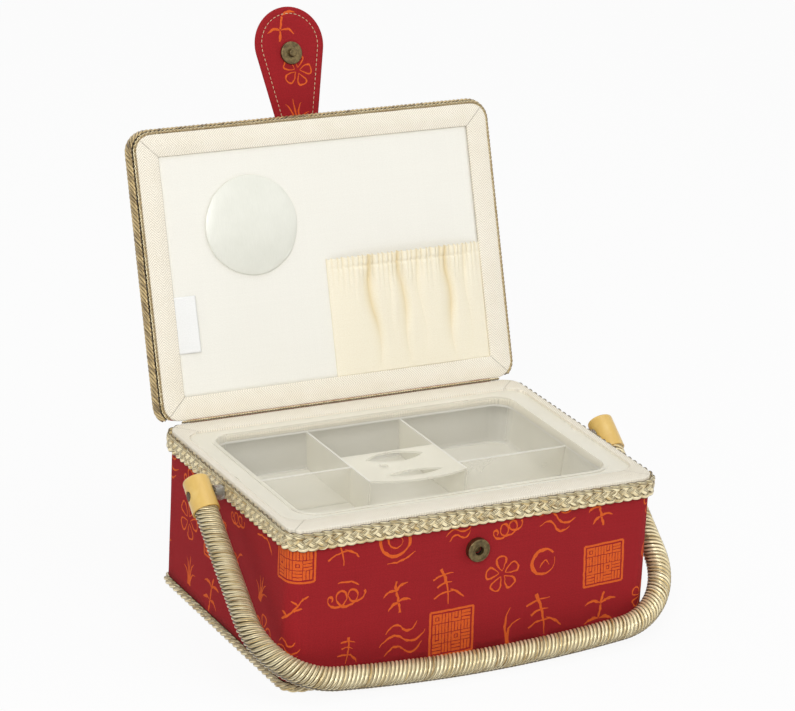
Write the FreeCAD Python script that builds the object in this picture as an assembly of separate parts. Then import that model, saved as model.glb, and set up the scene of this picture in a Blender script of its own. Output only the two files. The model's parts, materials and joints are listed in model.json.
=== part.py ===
"""Fabric covered sewing box: a padded lid on a cloth hinge with a snap tab, a swinging bail
handle on two side bolts, and a moulded compartment tray that lifts out of the rim.

X runs along the front, Y towards the hinge and Z up. The origin is the centre of the underside.
The box stands open: the lid leans back on its hinge and the handle lies down in front.
"""
import FreeCAD, Part
import math
import os

from FreeCAD import Vector

# Driving dimensions, in millimetres and degrees.

# Box
BOX_WIDTH = 235.0
BOX_DEPTH = 172.0
RIM_HEIGHT = 99.0             # underside to the top of the rim tape
BOX_CORNER_R = 10.0
COVER_CLOTH = 1.0             # printed cotton with its thin wadding
WALL_BOARD = 3.5
LINING = 0.8
BOTTOM_BOARD = 5.0
BOTTOM_CLOTH = 0.8
BASE_CORD_D = 5.6
TAPE = 1.0                    # herringbone tape with the turning under it
RIM_BAND_SIDE = 3.6           # flat top of the rim, left and right of the tray
RIM_BAND_END = 13.2           # the same, in front of the tray and behind it
LEDGE_DROP = 2.8              # top of the rim down to the ledge that the tray hangs on
LEDGE_BOARD = 4.0
BRAID_HEIGHT = 11.6
BRAID_THICK = 3.4
BRAID_ROUND = 1.4
BRAID_BELOW_RIM = 1.0

# Lift-out tray
FLANGE_SIDE = 12.8            # flange width beside the well
FLANGE_END = 7.7              # the same, in front of the well and behind it
TRAY_DRAFT_X = 3.0            # how much nearer the walls stand at the floor
TRAY_DRAFT_Y = 4.0
TRAY_DEPTH = 27.4             # flange top down to the floor inside
TRAY_WALL = 1.2
TRAY_CORNER_R = 12.0
TRAY_FLOOR_R = 3.0
TRAY_GAP = 0.8                # between the well and its hole in the ledge
FLANGE_GAP = 0.6              # between the flange and the rim's step
TRAY_SEAT_GAP = 0.1
FLANGE_BEAD_W = 1.2
FLANGE_BEAD_H = 0.5
FLANGE_NOTCH_R = 7.0
FLANGE_NOTCH_DEPTH = 2.0
DIVIDER_BELOW = 5.0           # divider tops below the flange
DIVIDER_THICK = 1.2
DIVIDER_LEFT_SHARE = -0.36    # places across the well, as shares of its half width
DIVIDER_RIGHT_SHARE = 0.265
DIVIDER_LEFT_END_SHARE = -0.3125    # places along the well, as shares of its half depth
DIVIDER_RIGHT_END_SHARE = -0.344
CROSS_LEFT_SHARE = 0.055
CROSS_RIGHT_SHARE = -0.18
BRIDGE_BACK_SHARE = 0.29      # bridge between the two long dividers
BRIDGE_BULGE_SHARE = -0.422
GRIP_LENGTH = 38.0            # two pointed finger holes in the bridge
GRIP_BACK_WIDTH = 15.0
GRIP_FRONT_WIDTH = 8.6
GRIP_FROM_BACK = 9.2          # bridge's back edge to the middle of the nearer hole
GRIP_FROM_FRONT = 10.5
BRIDGE_HOLE_D = 6.0
BRIDGE_HOLE_LEFT = 13.0       # small round hole, from the middle of the bridge
BRIDGE_HOLE_FROM_BACK = 20.8

# Lid, drawn shut and then opened
LID_OPEN_ANGLE = 109.0
LID_GAP = 0.3                 # shut lid above the rim tape
LID_EDGE = 13.0               # height of the lid's side
LID_CROWN = 5.0               # how much the padded top rises to its middle
LID_FRONT_SET = 0.5           # lid's front edge behind the box's front
LID_CORNER_R = 10.0
LID_BOARD = 3.0
LID_FRAME_WIDTH = 13.6        # tape frame round the inside of the lid
LINER_RECESS = 1.5            # liner above the face of the tape frame
LINER_THICK = 0.8
LID_BRAID_HEIGHT = 10.4
LID_BRAID_THICK = 3.6
LID_BRAID_FROM_TAPE = 2.2
LID_BRAID_BACK_GAP = 6.0      # braid's ends stop short of the hinge
PIPING_D = 2.0
HINGE_SETBACK = 0.5           # hinge line behind the back of the box
HINGE_CLEAR = 1.3             # hinge line behind the back of the lid
HINGE_LEAF = 0.5
HINGE_LEAF_MARGIN = 15.5      # from each end of the box
HINGE_LEAF_DROP = 10.5

# Things sewn inside the lid
CUSHION_D = 60.0
CUSHION_HEIGHT = 7.4
CUSHION_EDGE = 3.4            # height of its rolled edge
CUSHION_ROLL = 1.4            # how far the rolled edge stands out of the dome
CUSHION_FROM_SIDE = 69.0       # lid's left side to the middle of the cushion
CUSHION_FROM_HINGE = 112.5
CUSHION_BASE = 0.8
POCKET_WIDTH = 105.5
POCKET_HEIGHT = 71.5
POCKET_BULGE = 7.4
POCKET_FOOT = 1.4             # bulge at its lower seam
POCKET_BOW = ((-1, 0), (-0.84, 0.48), (-0.5, 0.88), (0, 1), (0.5, 0.88), (0.84, 0.48), (1, 0))
POCKET_CLOTH = 0.8
POCKET_HEM = 7.0
ELASTIC = 0.5
LABEL_WIDTH = 14.0
LABEL_HEIGHT = 34.0
LABEL_FROM_HINGE = 57.5
LABEL_THICK = 0.5

# Closure tab, drawn shut and folded down over the front
TAB_THICK = 2.4
TAB_ROOT_WIDTH = 28.5
TAB_HEAD_R = 23.0
TAB_HEAD_DROP = 45.2          # fold line down to the centre of the round head
TAB_STAND_OFF = 6.0           # tab's inner face in front of the box's front
TAB_BEND_R = 3.0
TAB_FOLD_SETBACK = 1.8        # fold line behind the box's front
TAB_ABOVE_LID = 0.3
TAB_STIFFENER = 0.9
TAB_SEAM = 5.0
TAB_FOLD_ANGLE = 90.0
ANCHOR_LENGTH = 11.0
ANCHOR_THICK = 1.4
ANCHOR_GAP = 0.3

# Magnetic snap
SNAP_D = 14.0
SNAP_DROP = 42.8              # fold line down to the snap's centre
SOCKET_HEIGHT = 3.6
SOCKET_RIM = 1.2
SOCKET_HOLE_D = 5.6
SOCKET_FLOOR = 0.6
MAGNET_HEIGHT = 1.8
MAGNET_MARGIN = 1.0
STUD_BASE = 1.8
STUD_D = 5.0
STUD_LENGTH = 2.4
SNAP_PLATE_D = 11.0
SNAP_PLATE = 0.5
RIVET_D = 4.8
RIVET_CLEAR = 0.1

# Bail handle, drawn hanging straight down and then swung forward
PIVOT_BELOW_RIM = 8.5
ARM_STAND_OFF = 16.7          # side of the box to the middle of the arm
BAR_STAND_OFF = 17.0          # front of the box to the middle of the resting bar
HANDLE_CORNER_R = 46.0
BAR_BOW_R = 950.0
WRAP_D = 14.2
CORE_D = 8.0
CORE_GAP = 0.05
BAR_OVER_TABLE = 1.5
FERRULE_ABOVE = 10.5          # ferrule's top above the pivot
FERRULE_BELOW = 11.0
FERRULE_TOP_D = 15.4
FERRULE_MOUTH_D = 16.4
FERRULE_ROUND = 1.6
FERRULE_SOCKET = 6.6
FERRULE_SOCKET_GAP = 0.05
BOLT_D = 4.0
BOLT_RUN = 0.05               # radial clearance of the ferrule on its bolt
BOLT_HOLE_CLEAR = 0.1
BOLT_HEAD_D = 5.6
BOLT_HEAD = 1.6
BOLT_HEAD_SUNK = 1.9           # depth of its seat in the ferrule
BOLT_HEAD_SIDE_GAP = 0.3
BOLT_HEAD_GAP = 0.2
SPACER_D = 9.0
SPACER_GAP = 0.3
WASHER_D = 8.6
WASHER = 0.8
NUT_ACROSS = 7.0
NUT = 3.2
BOLT_END = 1.0                # bolt standing out of its nut
NUT_RELIEF = 1.5              # room round the nut in the ledge board

# Levels and places worked out from them.
HALF_WIDTH = BOX_WIDTH / 2
HALF_DEPTH = BOX_DEPTH / 2
TRAY_WELL_X = HALF_WIDTH - RIM_BAND_SIDE - TAPE / 2 - FLANGE_GAP - FLANGE_SIDE
TRAY_WELL_Y = HALF_DEPTH - RIM_BAND_END - TAPE / 2 - FLANGE_GAP - FLANGE_END
DIVIDER_LEFT_X = TRAY_WELL_X * DIVIDER_LEFT_SHARE
DIVIDER_RIGHT_X = TRAY_WELL_X * DIVIDER_RIGHT_SHARE
DIVIDER_LEFT_END_Y = TRAY_WELL_Y * DIVIDER_LEFT_END_SHARE
DIVIDER_RIGHT_END_Y = TRAY_WELL_Y * DIVIDER_RIGHT_END_SHARE
CROSS_LEFT_Y = TRAY_WELL_Y * CROSS_LEFT_SHARE
CROSS_RIGHT_Y = TRAY_WELL_Y * CROSS_RIGHT_SHARE
BRIDGE_BACK_Y = TRAY_WELL_Y * BRIDGE_BACK_SHARE
BRIDGE_BULGE_Y = TRAY_WELL_Y * BRIDGE_BULGE_SHARE
BRIDGE_X = (DIVIDER_LEFT_X + DIVIDER_RIGHT_X) / 2
WALL_FOOT = BOTTOM_CLOTH + BOTTOM_BOARD
WALL_TOP = RIM_HEIGHT - TAPE
LEDGE_TOP = RIM_HEIGHT - LEDGE_DROP
LEDGE_BOARD_TOP = LEDGE_TOP - TAPE
LEDGE_BOARD_LOW = LEDGE_BOARD_TOP - LEDGE_BOARD
WALL_INSET = COVER_CLOTH + WALL_BOARD
ROOM_INSET = WALL_INSET + LINING
BRAID_TOP = RIM_HEIGHT - BRAID_BELOW_RIM
FLANGE_LOW = LEDGE_TOP + TRAY_SEAT_GAP
FLANGE_TOP = FLANGE_LOW + TRAY_WALL
TRAY_FLOOR = FLANGE_TOP - TRAY_DEPTH
TRAY_LOW = TRAY_FLOOR - TRAY_WALL
DIVIDER_TOP = FLANGE_TOP - DIVIDER_BELOW
PIVOT_Z = RIM_HEIGHT - PIVOT_BELOW_RIM
ARM_X = HALF_WIDTH + ARM_STAND_OFF
BAR_Y = -HALF_DEPTH - BAR_STAND_OFF
BAR_Z = WRAP_D / 2 + BAR_OVER_TABLE
BAR_DROP = math.hypot(BAR_Y, PIVOT_Z - BAR_Z)
HINGE_LEAF_HALF = HALF_WIDTH - HINGE_LEAF_MARGIN
HINGE_Y = HALF_DEPTH + HINGE_SETBACK
HINGE_Z = RIM_HEIGHT + LID_GAP / 2
LID_LOW = RIM_HEIGHT + LID_GAP
LID_EDGE_TOP = LID_LOW + LID_EDGE
LINER_LOW = LID_LOW + LINER_RECESS
LID_BOARD_TOP = LINER_LOW + LINER_THICK + LID_BOARD
LID_BRAID_LOW = LID_LOW + LID_BRAID_FROM_TAPE
TAB_AXIS_Y = -HALF_DEPTH + TAB_FOLD_SETBACK
TAB_AXIS_Z = LID_EDGE_TOP + TAB_ABOVE_LID + TAB_THICK / 2
TAB_FACE_Y = -HALF_DEPTH - TAB_STAND_OFF
SNAP_Z = TAB_AXIS_Z - SNAP_DROP

SMALLEST_R = 0.5
BEYOND = 5.0                  # how far a cutting tool runs past what it cuts

# Plan outlines: half width, front Y, back Y, corner radius.
BOX_PLAN = (HALF_WIDTH, -HALF_DEPTH, HALF_DEPTH, BOX_CORNER_R)
RECESS_PLAN = (HALF_WIDTH - RIM_BAND_SIDE, RIM_BAND_END - HALF_DEPTH, HALF_DEPTH - RIM_BAND_END, TRAY_CORNER_R)
WELL_PLAN = (TRAY_WELL_X, -TRAY_WELL_Y, TRAY_WELL_Y, TRAY_CORNER_R)
LID_PLAN = (HALF_WIDTH, LID_FRONT_SET - HALF_DEPTH, HINGE_Y - HINGE_CLEAR, LID_CORNER_R)


def inset(plan, distance):
    """The same outline moved inwards by a distance, or outwards by a negative one."""
    half_x, front, back, radius = plan
    return (half_x - distance, front + distance, back - distance, max(radius - distance, SMALLEST_R))


def corner_arc(centre_x, centre_y, radius, start_degrees, z):
    """Quarter circle from start_degrees, anticlockwise seen from above."""
    points = []
    for step in (0, 45, 90):
        angle = math.radians(start_degrees + step)
        points.append(Vector(centre_x + radius * math.cos(angle), centre_y + radius * math.sin(angle), z))
    return Part.Arc(*points).toShape()


def outline_edges(plan, z):
    """Rounded rectangle as alternating corner arcs and sides, from the back right corner."""
    half_x, front, back, radius = plan
    centres = (
        (half_x - radius, back - radius),
        (radius - half_x, back - radius),
        (radius - half_x, front + radius),
        (half_x - radius, front + radius),
    )
    arcs = [corner_arc(x, y, radius, 90 * turn, z) for turn, (x, y) in enumerate(centres)]
    edges = []
    for arc, following in zip(arcs, arcs[1:] + arcs[:1]):
        edges.append(arc)
        start = arc.Vertexes[-1].Point
        end = following.Vertexes[0].Point
        edges.append(Part.makeLine(start, end))
    return edges


def outline_wire(plan, z):
    return Part.Wire(outline_edges(plan, z))


def block(plan, low, high):
    """Upright rounded block on a plan outline."""
    face = Part.Face(outline_wire(plan, low))
    return face.extrude(Vector(0, 0, high - low))


def frame(outer, inner, low, high):
    """Upright ring between two plan outlines."""
    hole = block(inner, low - BEYOND, high + BEYOND)
    return block(outer, low, high).cut(hole)


def box_between(x_low, x_high, y_low, y_high, z_low, z_high):
    corner = Vector(x_low, y_low, z_low)
    return Part.makeBox(x_high - x_low, y_high - y_low, z_high - z_low, corner)


def sweep_round(path, diameter):
    """Round cord or rod along a smooth path, from the path's first point."""
    first = path.Edges[0]
    start = first.valueAt(first.FirstParameter)
    along = first.tangentAt(first.FirstParameter)
    section = Part.Wire(Part.makeCircle(diameter / 2, start, along))
    pipe = Part.BRepOffsetAPI.MakePipeShell(path)
    pipe.setFrenetMode(False)
    pipe.add(section)
    pipe.build()
    pipe.makeSolid()
    return pipe.shape()


def along_x(diameter, x_start, x_end, y, z):
    """Cylinder lying along X."""
    direction = Vector(1 if x_end > x_start else -1, 0, 0)
    return Part.makeCylinder(diameter / 2, abs(x_end - x_start), Vector(x_start, y, z), direction)


def forward_disc(diameter, y_back, thick, z):
    """Disc at X = 0 that faces forward, its back at y_back."""
    return Part.makeCylinder(diameter / 2, thick, Vector(0, y_back, z), Vector(0, -1, 0))


# Box

def bolt_holes():
    """Clearance holes for the two handle bolts, right through the box."""
    return along_x(BOLT_D + 2 * BOLT_HOLE_CLEAR, -ARM_X, ARM_X, 0, PIVOT_Z)


def snap_hole():
    """Stepped hole in the front wall for the socket's rivet and its washer."""
    behind = -HALF_DEPTH + WALL_INSET
    hole = forward_disc(RIVET_D + 2 * RIVET_CLEAR, behind + BEYOND, WALL_INSET + 2 * BEYOND, SNAP_Z)
    return hole.fuse(forward_disc(SNAP_PLATE_D + 2 * RIVET_CLEAR, behind + BEYOND, BEYOND + SNAP_PLATE, SNAP_Z))


def make_bottom_cloth():
    return block(inset(BOX_PLAN, BASE_CORD_D / 2 + BOTTOM_CLOTH), 0, BOTTOM_CLOTH)


def make_bottom_board():
    return block(inset(BOX_PLAN, BASE_CORD_D / 2), BOTTOM_CLOTH, WALL_FOOT)


def make_base_cord():
    """Twisted cord in the angle under the walls, round the edge of the bottom board."""
    return sweep_round(outline_wire(BOX_PLAN, BASE_CORD_D / 2), BASE_CORD_D)


def make_wall_board():
    """Four walls in one band, cut down along the inside for the tray's recess."""
    walls = frame(inset(BOX_PLAN, COVER_CLOTH), inset(BOX_PLAN, WALL_INSET), WALL_FOOT, WALL_TOP)
    recess = block(RECESS_PLAN, LEDGE_BOARD_TOP, WALL_TOP + BEYOND)
    return walls.cut(recess).cut(bolt_holes()).cut(snap_hole())


def make_cover_cloth():
    cloth = frame(BOX_PLAN, inset(BOX_PLAN, COVER_CLOTH), WALL_FOOT, WALL_TOP)
    return cloth.cut(bolt_holes()).cut(snap_hole())


def make_lining():
    """Cotton bag that lines the walls and the floor, up to the ledge."""
    room = block(inset(BOX_PLAN, WALL_INSET), WALL_FOOT, LEDGE_BOARD_LOW)
    hollow = block(inset(BOX_PLAN, ROOM_INSET), WALL_FOOT + LINING, LEDGE_BOARD_LOW + BEYOND)
    return room.cut(hollow).cut(bolt_holes())


def ledge_hole():
    return inset(WELL_PLAN, -TRAY_WALL - TRAY_GAP)


def make_tray_ledge():
    """Board collar inside the walls, thicker in front of the recess and behind it."""
    collar = frame(inset(BOX_PLAN, WALL_INSET), inset(ledge_hole(), -TAPE), LEDGE_BOARD_LOW, WALL_TOP)
    collar = collar.cut(block(RECESS_PLAN, LEDGE_BOARD_TOP, WALL_TOP + BEYOND))
    wall_face = HALF_WIDTH - WALL_INSET
    relief_d = max(WASHER_D, NUT_ACROSS) + 2 * NUT_RELIEF
    relief_length = WASHER + NUT + BOLT_END + LINING + NUT_RELIEF
    for side in (-1, 1):
        collar = collar.cut(along_x(relief_d, side * wall_face, side * (wall_face - relief_length), 0, PIVOT_Z))
    return collar


def make_rim_binding():
    """Tape over the rim: the flat top, the step, the ledge and the turn-down at the well."""
    top = frame(BOX_PLAN, inset(RECESS_PLAN, TAPE / 2), WALL_TOP, RIM_HEIGHT)
    step = frame(RECESS_PLAN, inset(RECESS_PLAN, TAPE / 2), LEDGE_BOARD_TOP, RIM_HEIGHT)
    ledge = frame(RECESS_PLAN, ledge_hole(), LEDGE_BOARD_TOP, LEDGE_TOP)
    turn_down = frame(inset(ledge_hole(), -TAPE), ledge_hole(), LEDGE_BOARD_LOW, LEDGE_TOP)
    return top.fuse([step, ledge, turn_down]).removeSplitter()


def rounded_band(outer, inner, low, high, round_r):
    """Upright ring whose two outer edges are rounded, as a flat plait is."""
    band = block(outer, low, high)
    rims = [edge for edge in band.Edges if edge.BoundBox.ZLength < SMALLEST_R]
    return band.makeFillet(round_r, rims).cut(block(inner, low - BEYOND, high + BEYOND))


def make_rim_braid():
    """Flat plait round the outside of the rim, let in behind for the hinge cloth."""
    outer = inset(BOX_PLAN, -BRAID_THICK)
    braid = rounded_band(outer, BOX_PLAN, BRAID_TOP - BRAID_HEIGHT, BRAID_TOP, BRAID_ROUND)
    return braid.cut(make_hinge_leaf_box()).cut(bolt_holes())


def make_hinge_leaf_box():
    """Half of the cloth hinge that is glued down the back of the box, under the braid."""
    low = WALL_TOP - HINGE_LEAF_DROP
    outer = HALF_DEPTH + HINGE_LEAF
    return box_between(-HINGE_LEAF_HALF, HINGE_LEAF_HALF, HALF_DEPTH, outer, low, RIM_HEIGHT)


def make_snap_socket():
    """Shallow cup with a rolled edge and a round mouth, open at the back for its magnet."""
    cup = forward_disc(SNAP_D, -HALF_DEPTH, SOCKET_HEIGHT, SNAP_Z)
    front_edges = [edge for edge in cup.Edges if edge.BoundBox.YMax < -HALF_DEPTH - SOCKET_HEIGHT / 2]
    cup = cup.makeFillet(SOCKET_RIM / 2, front_edges)
    dish_d = SNAP_D - 2 * SOCKET_RIM
    dish_face = -HALF_DEPTH - SOCKET_HEIGHT + SOCKET_FLOOR / 2
    cup = cup.cut(forward_disc(dish_d, dish_face, BEYOND, SNAP_Z))
    collar = forward_disc(SOCKET_HOLE_D + SOCKET_RIM, dish_face, SOCKET_FLOOR / 2, SNAP_Z)
    magnet_room = forward_disc(SNAP_D - 2 * MAGNET_MARGIN, -HALF_DEPTH, MAGNET_HEIGHT, SNAP_Z)
    mouth = forward_disc(SOCKET_HOLE_D, -HALF_DEPTH, SOCKET_HEIGHT + BEYOND, SNAP_Z)
    return cup.fuse(collar).cut(magnet_room).cut(mouth)


def make_socket_magnet():
    ring = forward_disc(SNAP_D - 2 * MAGNET_MARGIN, -HALF_DEPTH, MAGNET_HEIGHT, SNAP_Z)
    return ring.cut(forward_disc(SOCKET_HOLE_D, -HALF_DEPTH + BEYOND, MAGNET_HEIGHT + 2 * BEYOND, SNAP_Z))


def make_socket_backplate():
    """Washer let into the wall board from behind, with the rivet that comes through to the socket."""
    behind = -HALF_DEPTH + WALL_INSET
    plate = forward_disc(SNAP_PLATE_D, behind, SNAP_PLATE, SNAP_Z)
    rivet = forward_disc(RIVET_D, behind, WALL_INSET, SNAP_Z)
    return plate.fuse(rivet)


# Lid

def opened(shape):
    """Turn a piece of the shut lid back on its hinge to where it stands."""
    result = shape.copy()
    result.rotate(Vector(0, HINGE_Y, HINGE_Z), Vector(1, 0, 0), -LID_OPEN_ANGLE)
    return result


def crowned_block(plan, low, edge_top, crown):
    """Block whose top rises gently from its straight edges to the middle, as padding under tight cloth does."""
    half_x, front, back, _ = plan
    middle_y = (front + back) / 2
    surface = Part.BezierSurface()
    surface.increase(2, 2)
    for row, x in enumerate((-half_x, 0, half_x)):
        for column, y in enumerate((front, middle_y, back)):
            rise = 4 * crown if row == 1 and column == 1 else 0
            surface.setPole(row + 1, column + 1, Vector(x, y, edge_top + rise))
    pad = surface.toShape().extrude(Vector(0, 0, low - edge_top))
    return block(plan, low, edge_top + crown + BEYOND).common(pad)


def make_lid_board():
    """Board with a shallow frame below it, which the tape covers and the liner fills."""
    plan = inset(LID_PLAN, COVER_CLOTH)
    panel = block(plan, LID_LOW + TAPE, LID_BOARD_TOP)
    return panel.cut(block(inset(LID_PLAN, LID_FRAME_WIDTH - TAPE), LID_LOW, LINER_LOW + LINER_THICK))


def make_lid_liner():
    return block(inset(LID_PLAN, LID_FRAME_WIDTH - TAPE), LINER_LOW, LINER_LOW + LINER_THICK)


def make_lid_binding():
    """Mitred tape frame, turned in to the liner at its inner edge."""
    outer = LID_PLAN
    inner = inset(LID_PLAN, LID_FRAME_WIDTH)
    face = frame(outer, inner, LID_LOW, LID_LOW + TAPE)
    turn_in = frame(inset(inner, -TAPE), inner, LID_LOW, LINER_LOW)
    return face.fuse(turn_in).removeSplitter()


def make_lid_padding():
    return crowned_block(inset(LID_PLAN, COVER_CLOTH), LID_BOARD_TOP, LID_EDGE_TOP - COVER_CLOTH, LID_CROWN)


def make_lid_cover():
    """Cloth over the padded top and down the sides to the tape."""
    outside = crowned_block(LID_PLAN, LID_LOW + TAPE, LID_EDGE_TOP, LID_CROWN)
    core = crowned_block(inset(LID_PLAN, COVER_CLOTH), LID_LOW, LID_EDGE_TOP - COVER_CLOTH, LID_CROWN)
    return outside.cut(core)


def behind_braid_ends():
    """The strip along the hinge that the lid's braid and piping leave free."""
    reach = HALF_WIDTH + LID_BRAID_THICK + BEYOND
    start = LID_PLAN[2] - LID_BRAID_BACK_GAP
    return box_between(-reach, reach, start, start + 2 * BEYOND + LID_BRAID_BACK_GAP, LID_LOW - BEYOND,
                       LID_EDGE_TOP + BEYOND)


def make_lid_braid():
    outer = inset(LID_PLAN, -LID_BRAID_THICK)
    high = LID_BRAID_LOW + LID_BRAID_HEIGHT
    return rounded_band(outer, LID_PLAN, LID_BRAID_LOW, high, BRAID_ROUND).cut(behind_braid_ends())


def make_lid_piping():
    """Fine cord in the angle between the tape and the braid."""
    cord = sweep_round(outline_wire(inset(LID_PLAN, -PIPING_D / 2), LID_LOW + PIPING_D / 2), PIPING_D)
    return cord.cut(behind_braid_ends())


def make_hinge_leaf_lid():
    """Half of the cloth hinge that is glued up the back of the lid."""
    back = LID_PLAN[2]
    high = LID_LOW + HINGE_LEAF_DROP
    return box_between(-HINGE_LEAF_HALF, HINGE_LEAF_HALF, back, back + HINGE_LEAF, LID_LOW, high)


def from_hinge(distance):
    """Y of a point on the shut lid at a distance in front of the hinge line."""
    return HINGE_Y - distance


def make_pincushion():
    """Round cushion, domed over a rolled edge and sewn to the liner."""
    radius = CUSHION_D / 2
    shoulder_x = radius - CUSHION_ROLL
    foot = Vector(shoulder_x, 0, CUSHION_BASE)
    bulge = Vector(radius, 0, (CUSHION_BASE + CUSHION_EDGE) / 2)
    shoulder = Vector(shoulder_x, 0, CUSHION_EDGE)
    rise = CUSHION_HEIGHT - CUSHION_EDGE
    dome_radius = (shoulder_x ** 2 + rise ** 2) / (2 * rise)
    half_turn = math.degrees(math.asin(shoulder_x / dome_radius)) / 2
    middle = on_circle(0, CUSHION_HEIGHT - dome_radius, -dome_radius, -half_turn)
    crown = Vector(0, 0, CUSHION_HEIGHT)
    centre = Vector(0, 0, CUSHION_BASE)
    edges = [
        Part.makeLine(centre, foot),
        Part.Arc(foot, bulge, shoulder).toShape(),
        Part.Arc(shoulder, middle, crown).toShape(),
        Part.makeLine(crown, centre),
    ]
    return hang_from_liner(Part.Face(Part.Wire(edges)).revolve(Vector(0, 0, 0), Vector(0, 0, 1), 360))


def hang_from_liner(shape):
    """Turn a shape that stands on Z = 0 over, and place it under the liner at the cushion's spot."""
    result = shape.copy()
    result.rotate(Vector(0, 0, 0), Vector(1, 0, 0), 180)
    result.translate(Vector(CUSHION_FROM_SIDE - LID_PLAN[0], from_hinge(CUSHION_FROM_HINGE), LINER_LOW))
    return result


def make_cushion_base():
    """Card disc that the cushion is gathered over."""
    return hang_from_liner(Part.makeCylinder(CUSHION_D / 2 - CUSHION_ROLL, CUSHION_BASE))


def pocket_section(y, half_width, bulge):
    """Full bow under the liner: the pocket's section at one distance from the hinge."""
    centre_x = LID_PLAN[0] - LID_FRAME_WIDTH - POCKET_WIDTH / 2
    profile = []
    for across, height in POCKET_BOW:
        profile.append(Vector(centre_x + across * half_width, y, LINER_LOW - height * bulge))
    bow = Part.BSplineCurve()
    bow.interpolate(profile)
    return Part.Wire([bow.toShape(), Part.makeLine(profile[-1], profile[0])])


def pocket_solid(half_width, foot_y, foot_bulge, mouth_y, mouth_bulge):
    sections = [pocket_section(foot_y, half_width, foot_bulge), pocket_section(mouth_y, half_width, mouth_bulge)]
    return Part.makeLoft(sections, True, True)


def pocket_slope():
    """How fast the pocket's bulge grows from its foot to its mouth."""
    return (POCKET_BULGE - POCKET_FOOT) / POCKET_HEIGHT


def make_pocket():
    """Gathered cloth sewn along three sides and open at its mouth, away from the hinge."""
    foot_y = LID_PLAN[2] - LID_FRAME_WIDTH
    mouth_y = foot_y - POCKET_HEIGHT
    outside = pocket_solid(POCKET_WIDTH / 2, foot_y, POCKET_FOOT, mouth_y, POCKET_BULGE)
    inner_foot_y = foot_y - POCKET_CLOTH
    inner_mouth_y = mouth_y - BEYOND
    inner_foot = POCKET_FOOT - POCKET_CLOTH
    inner_mouth = POCKET_BULGE + pocket_slope() * BEYOND - POCKET_CLOTH
    inside = pocket_solid(POCKET_WIDTH / 2 - POCKET_CLOTH, inner_foot_y, inner_foot, inner_mouth_y, inner_mouth)
    return outside.cut(inside).cut(make_pocket_elastic())


def make_pocket_elastic():
    """Flat elastic in the hem at the pocket's mouth."""
    foot_y = LID_PLAN[2] - LID_FRAME_WIDTH
    mouth_y = foot_y - POCKET_HEIGHT
    margin = (POCKET_CLOTH - ELASTIC) / 2
    hem_y = mouth_y + POCKET_HEM
    hem_bulge = POCKET_BULGE - pocket_slope() * POCKET_HEM
    edge_y = mouth_y + margin * 2
    edge_bulge = POCKET_BULGE - pocket_slope() * margin * 2
    half = POCKET_WIDTH / 2 - margin
    outer = pocket_solid(half, hem_y, hem_bulge - margin, edge_y, edge_bulge - margin)
    inner_half = half - ELASTIC
    over = BEYOND
    inner_edge = edge_bulge + pocket_slope() * over - margin - ELASTIC
    inner_hem = hem_bulge - pocket_slope() * over - margin - ELASTIC
    inner = pocket_solid(inner_half, hem_y + over, inner_hem, edge_y - over, inner_edge)
    return outer.cut(inner)


def make_blank_label():
    """Small folded ribbon label, bare, at the left edge of the liner."""
    left = -LID_PLAN[0] + LID_FRAME_WIDTH
    middle = from_hinge(LABEL_FROM_HINGE)
    return box_between(left, left + LABEL_WIDTH, middle - LABEL_HEIGHT / 2, middle + LABEL_HEIGHT / 2,
                       LINER_LOW - LABEL_THICK, LINER_LOW)


# Closure tab

def unfolded(shape):
    """Turn a piece of the folded tab up into line with the lid, then open the lid."""
    result = shape.copy()
    result.rotate(Vector(0, TAB_AXIS_Y, TAB_AXIS_Z), Vector(1, 0, 0), -TAB_FOLD_ANGLE)
    return opened(result)


def tab_outline(margin, drop_start, y):
    """Face of the tab seen from the front: straight flaring sides tangent to a round head."""
    radius = TAB_HEAD_R - margin
    half_root = TAB_ROOT_WIDTH / 2 - margin
    reach = math.hypot(TAB_HEAD_DROP, half_root)
    tangent_turn = math.asin(radius / reach) - math.atan2(half_root, TAB_HEAD_DROP)
    touch_x = radius * math.cos(tangent_turn)
    touch_drop = TAB_HEAD_DROP - radius * math.sin(tangent_turn)
    start_x = half_root + (touch_x - half_root) * drop_start / touch_drop
    tip = Vector(0, y, TAB_AXIS_Z - TAB_HEAD_DROP - radius)
    touch_left = Vector(-touch_x, y, TAB_AXIS_Z - touch_drop)
    touch_right = Vector(touch_x, y, TAB_AXIS_Z - touch_drop)
    root_left = Vector(-start_x, y, TAB_AXIS_Z - drop_start)
    root_right = Vector(start_x, y, TAB_AXIS_Z - drop_start)
    edges = [
        Part.makeLine(root_left, touch_left),
        Part.Arc(touch_left, tip, touch_right).toShape(),
        Part.makeLine(touch_right, root_right),
        Part.makeLine(root_right, root_left),
    ]
    return Part.Face(Part.Wire(edges))


def tab_bend_section():
    """Side view of the tab's top: from the fold line out over the lid's edge and down."""
    centre_y = TAB_FACE_Y - TAB_THICK / 2
    path_start = Vector(0, TAB_AXIS_Y, TAB_AXIS_Z)
    bend_start = Vector(0, centre_y + TAB_BEND_R, TAB_AXIS_Z)
    turn = TAB_BEND_R * (1 - math.sqrt(0.5))
    bend_middle = Vector(0, centre_y + turn, TAB_AXIS_Z - turn)
    bend_end = Vector(0, centre_y, TAB_AXIS_Z - TAB_BEND_R)
    edges = [Part.makeLine(path_start, bend_start), Part.Arc(bend_start, bend_middle, bend_end).toShape()]
    return Part.Wire(edges)


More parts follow.
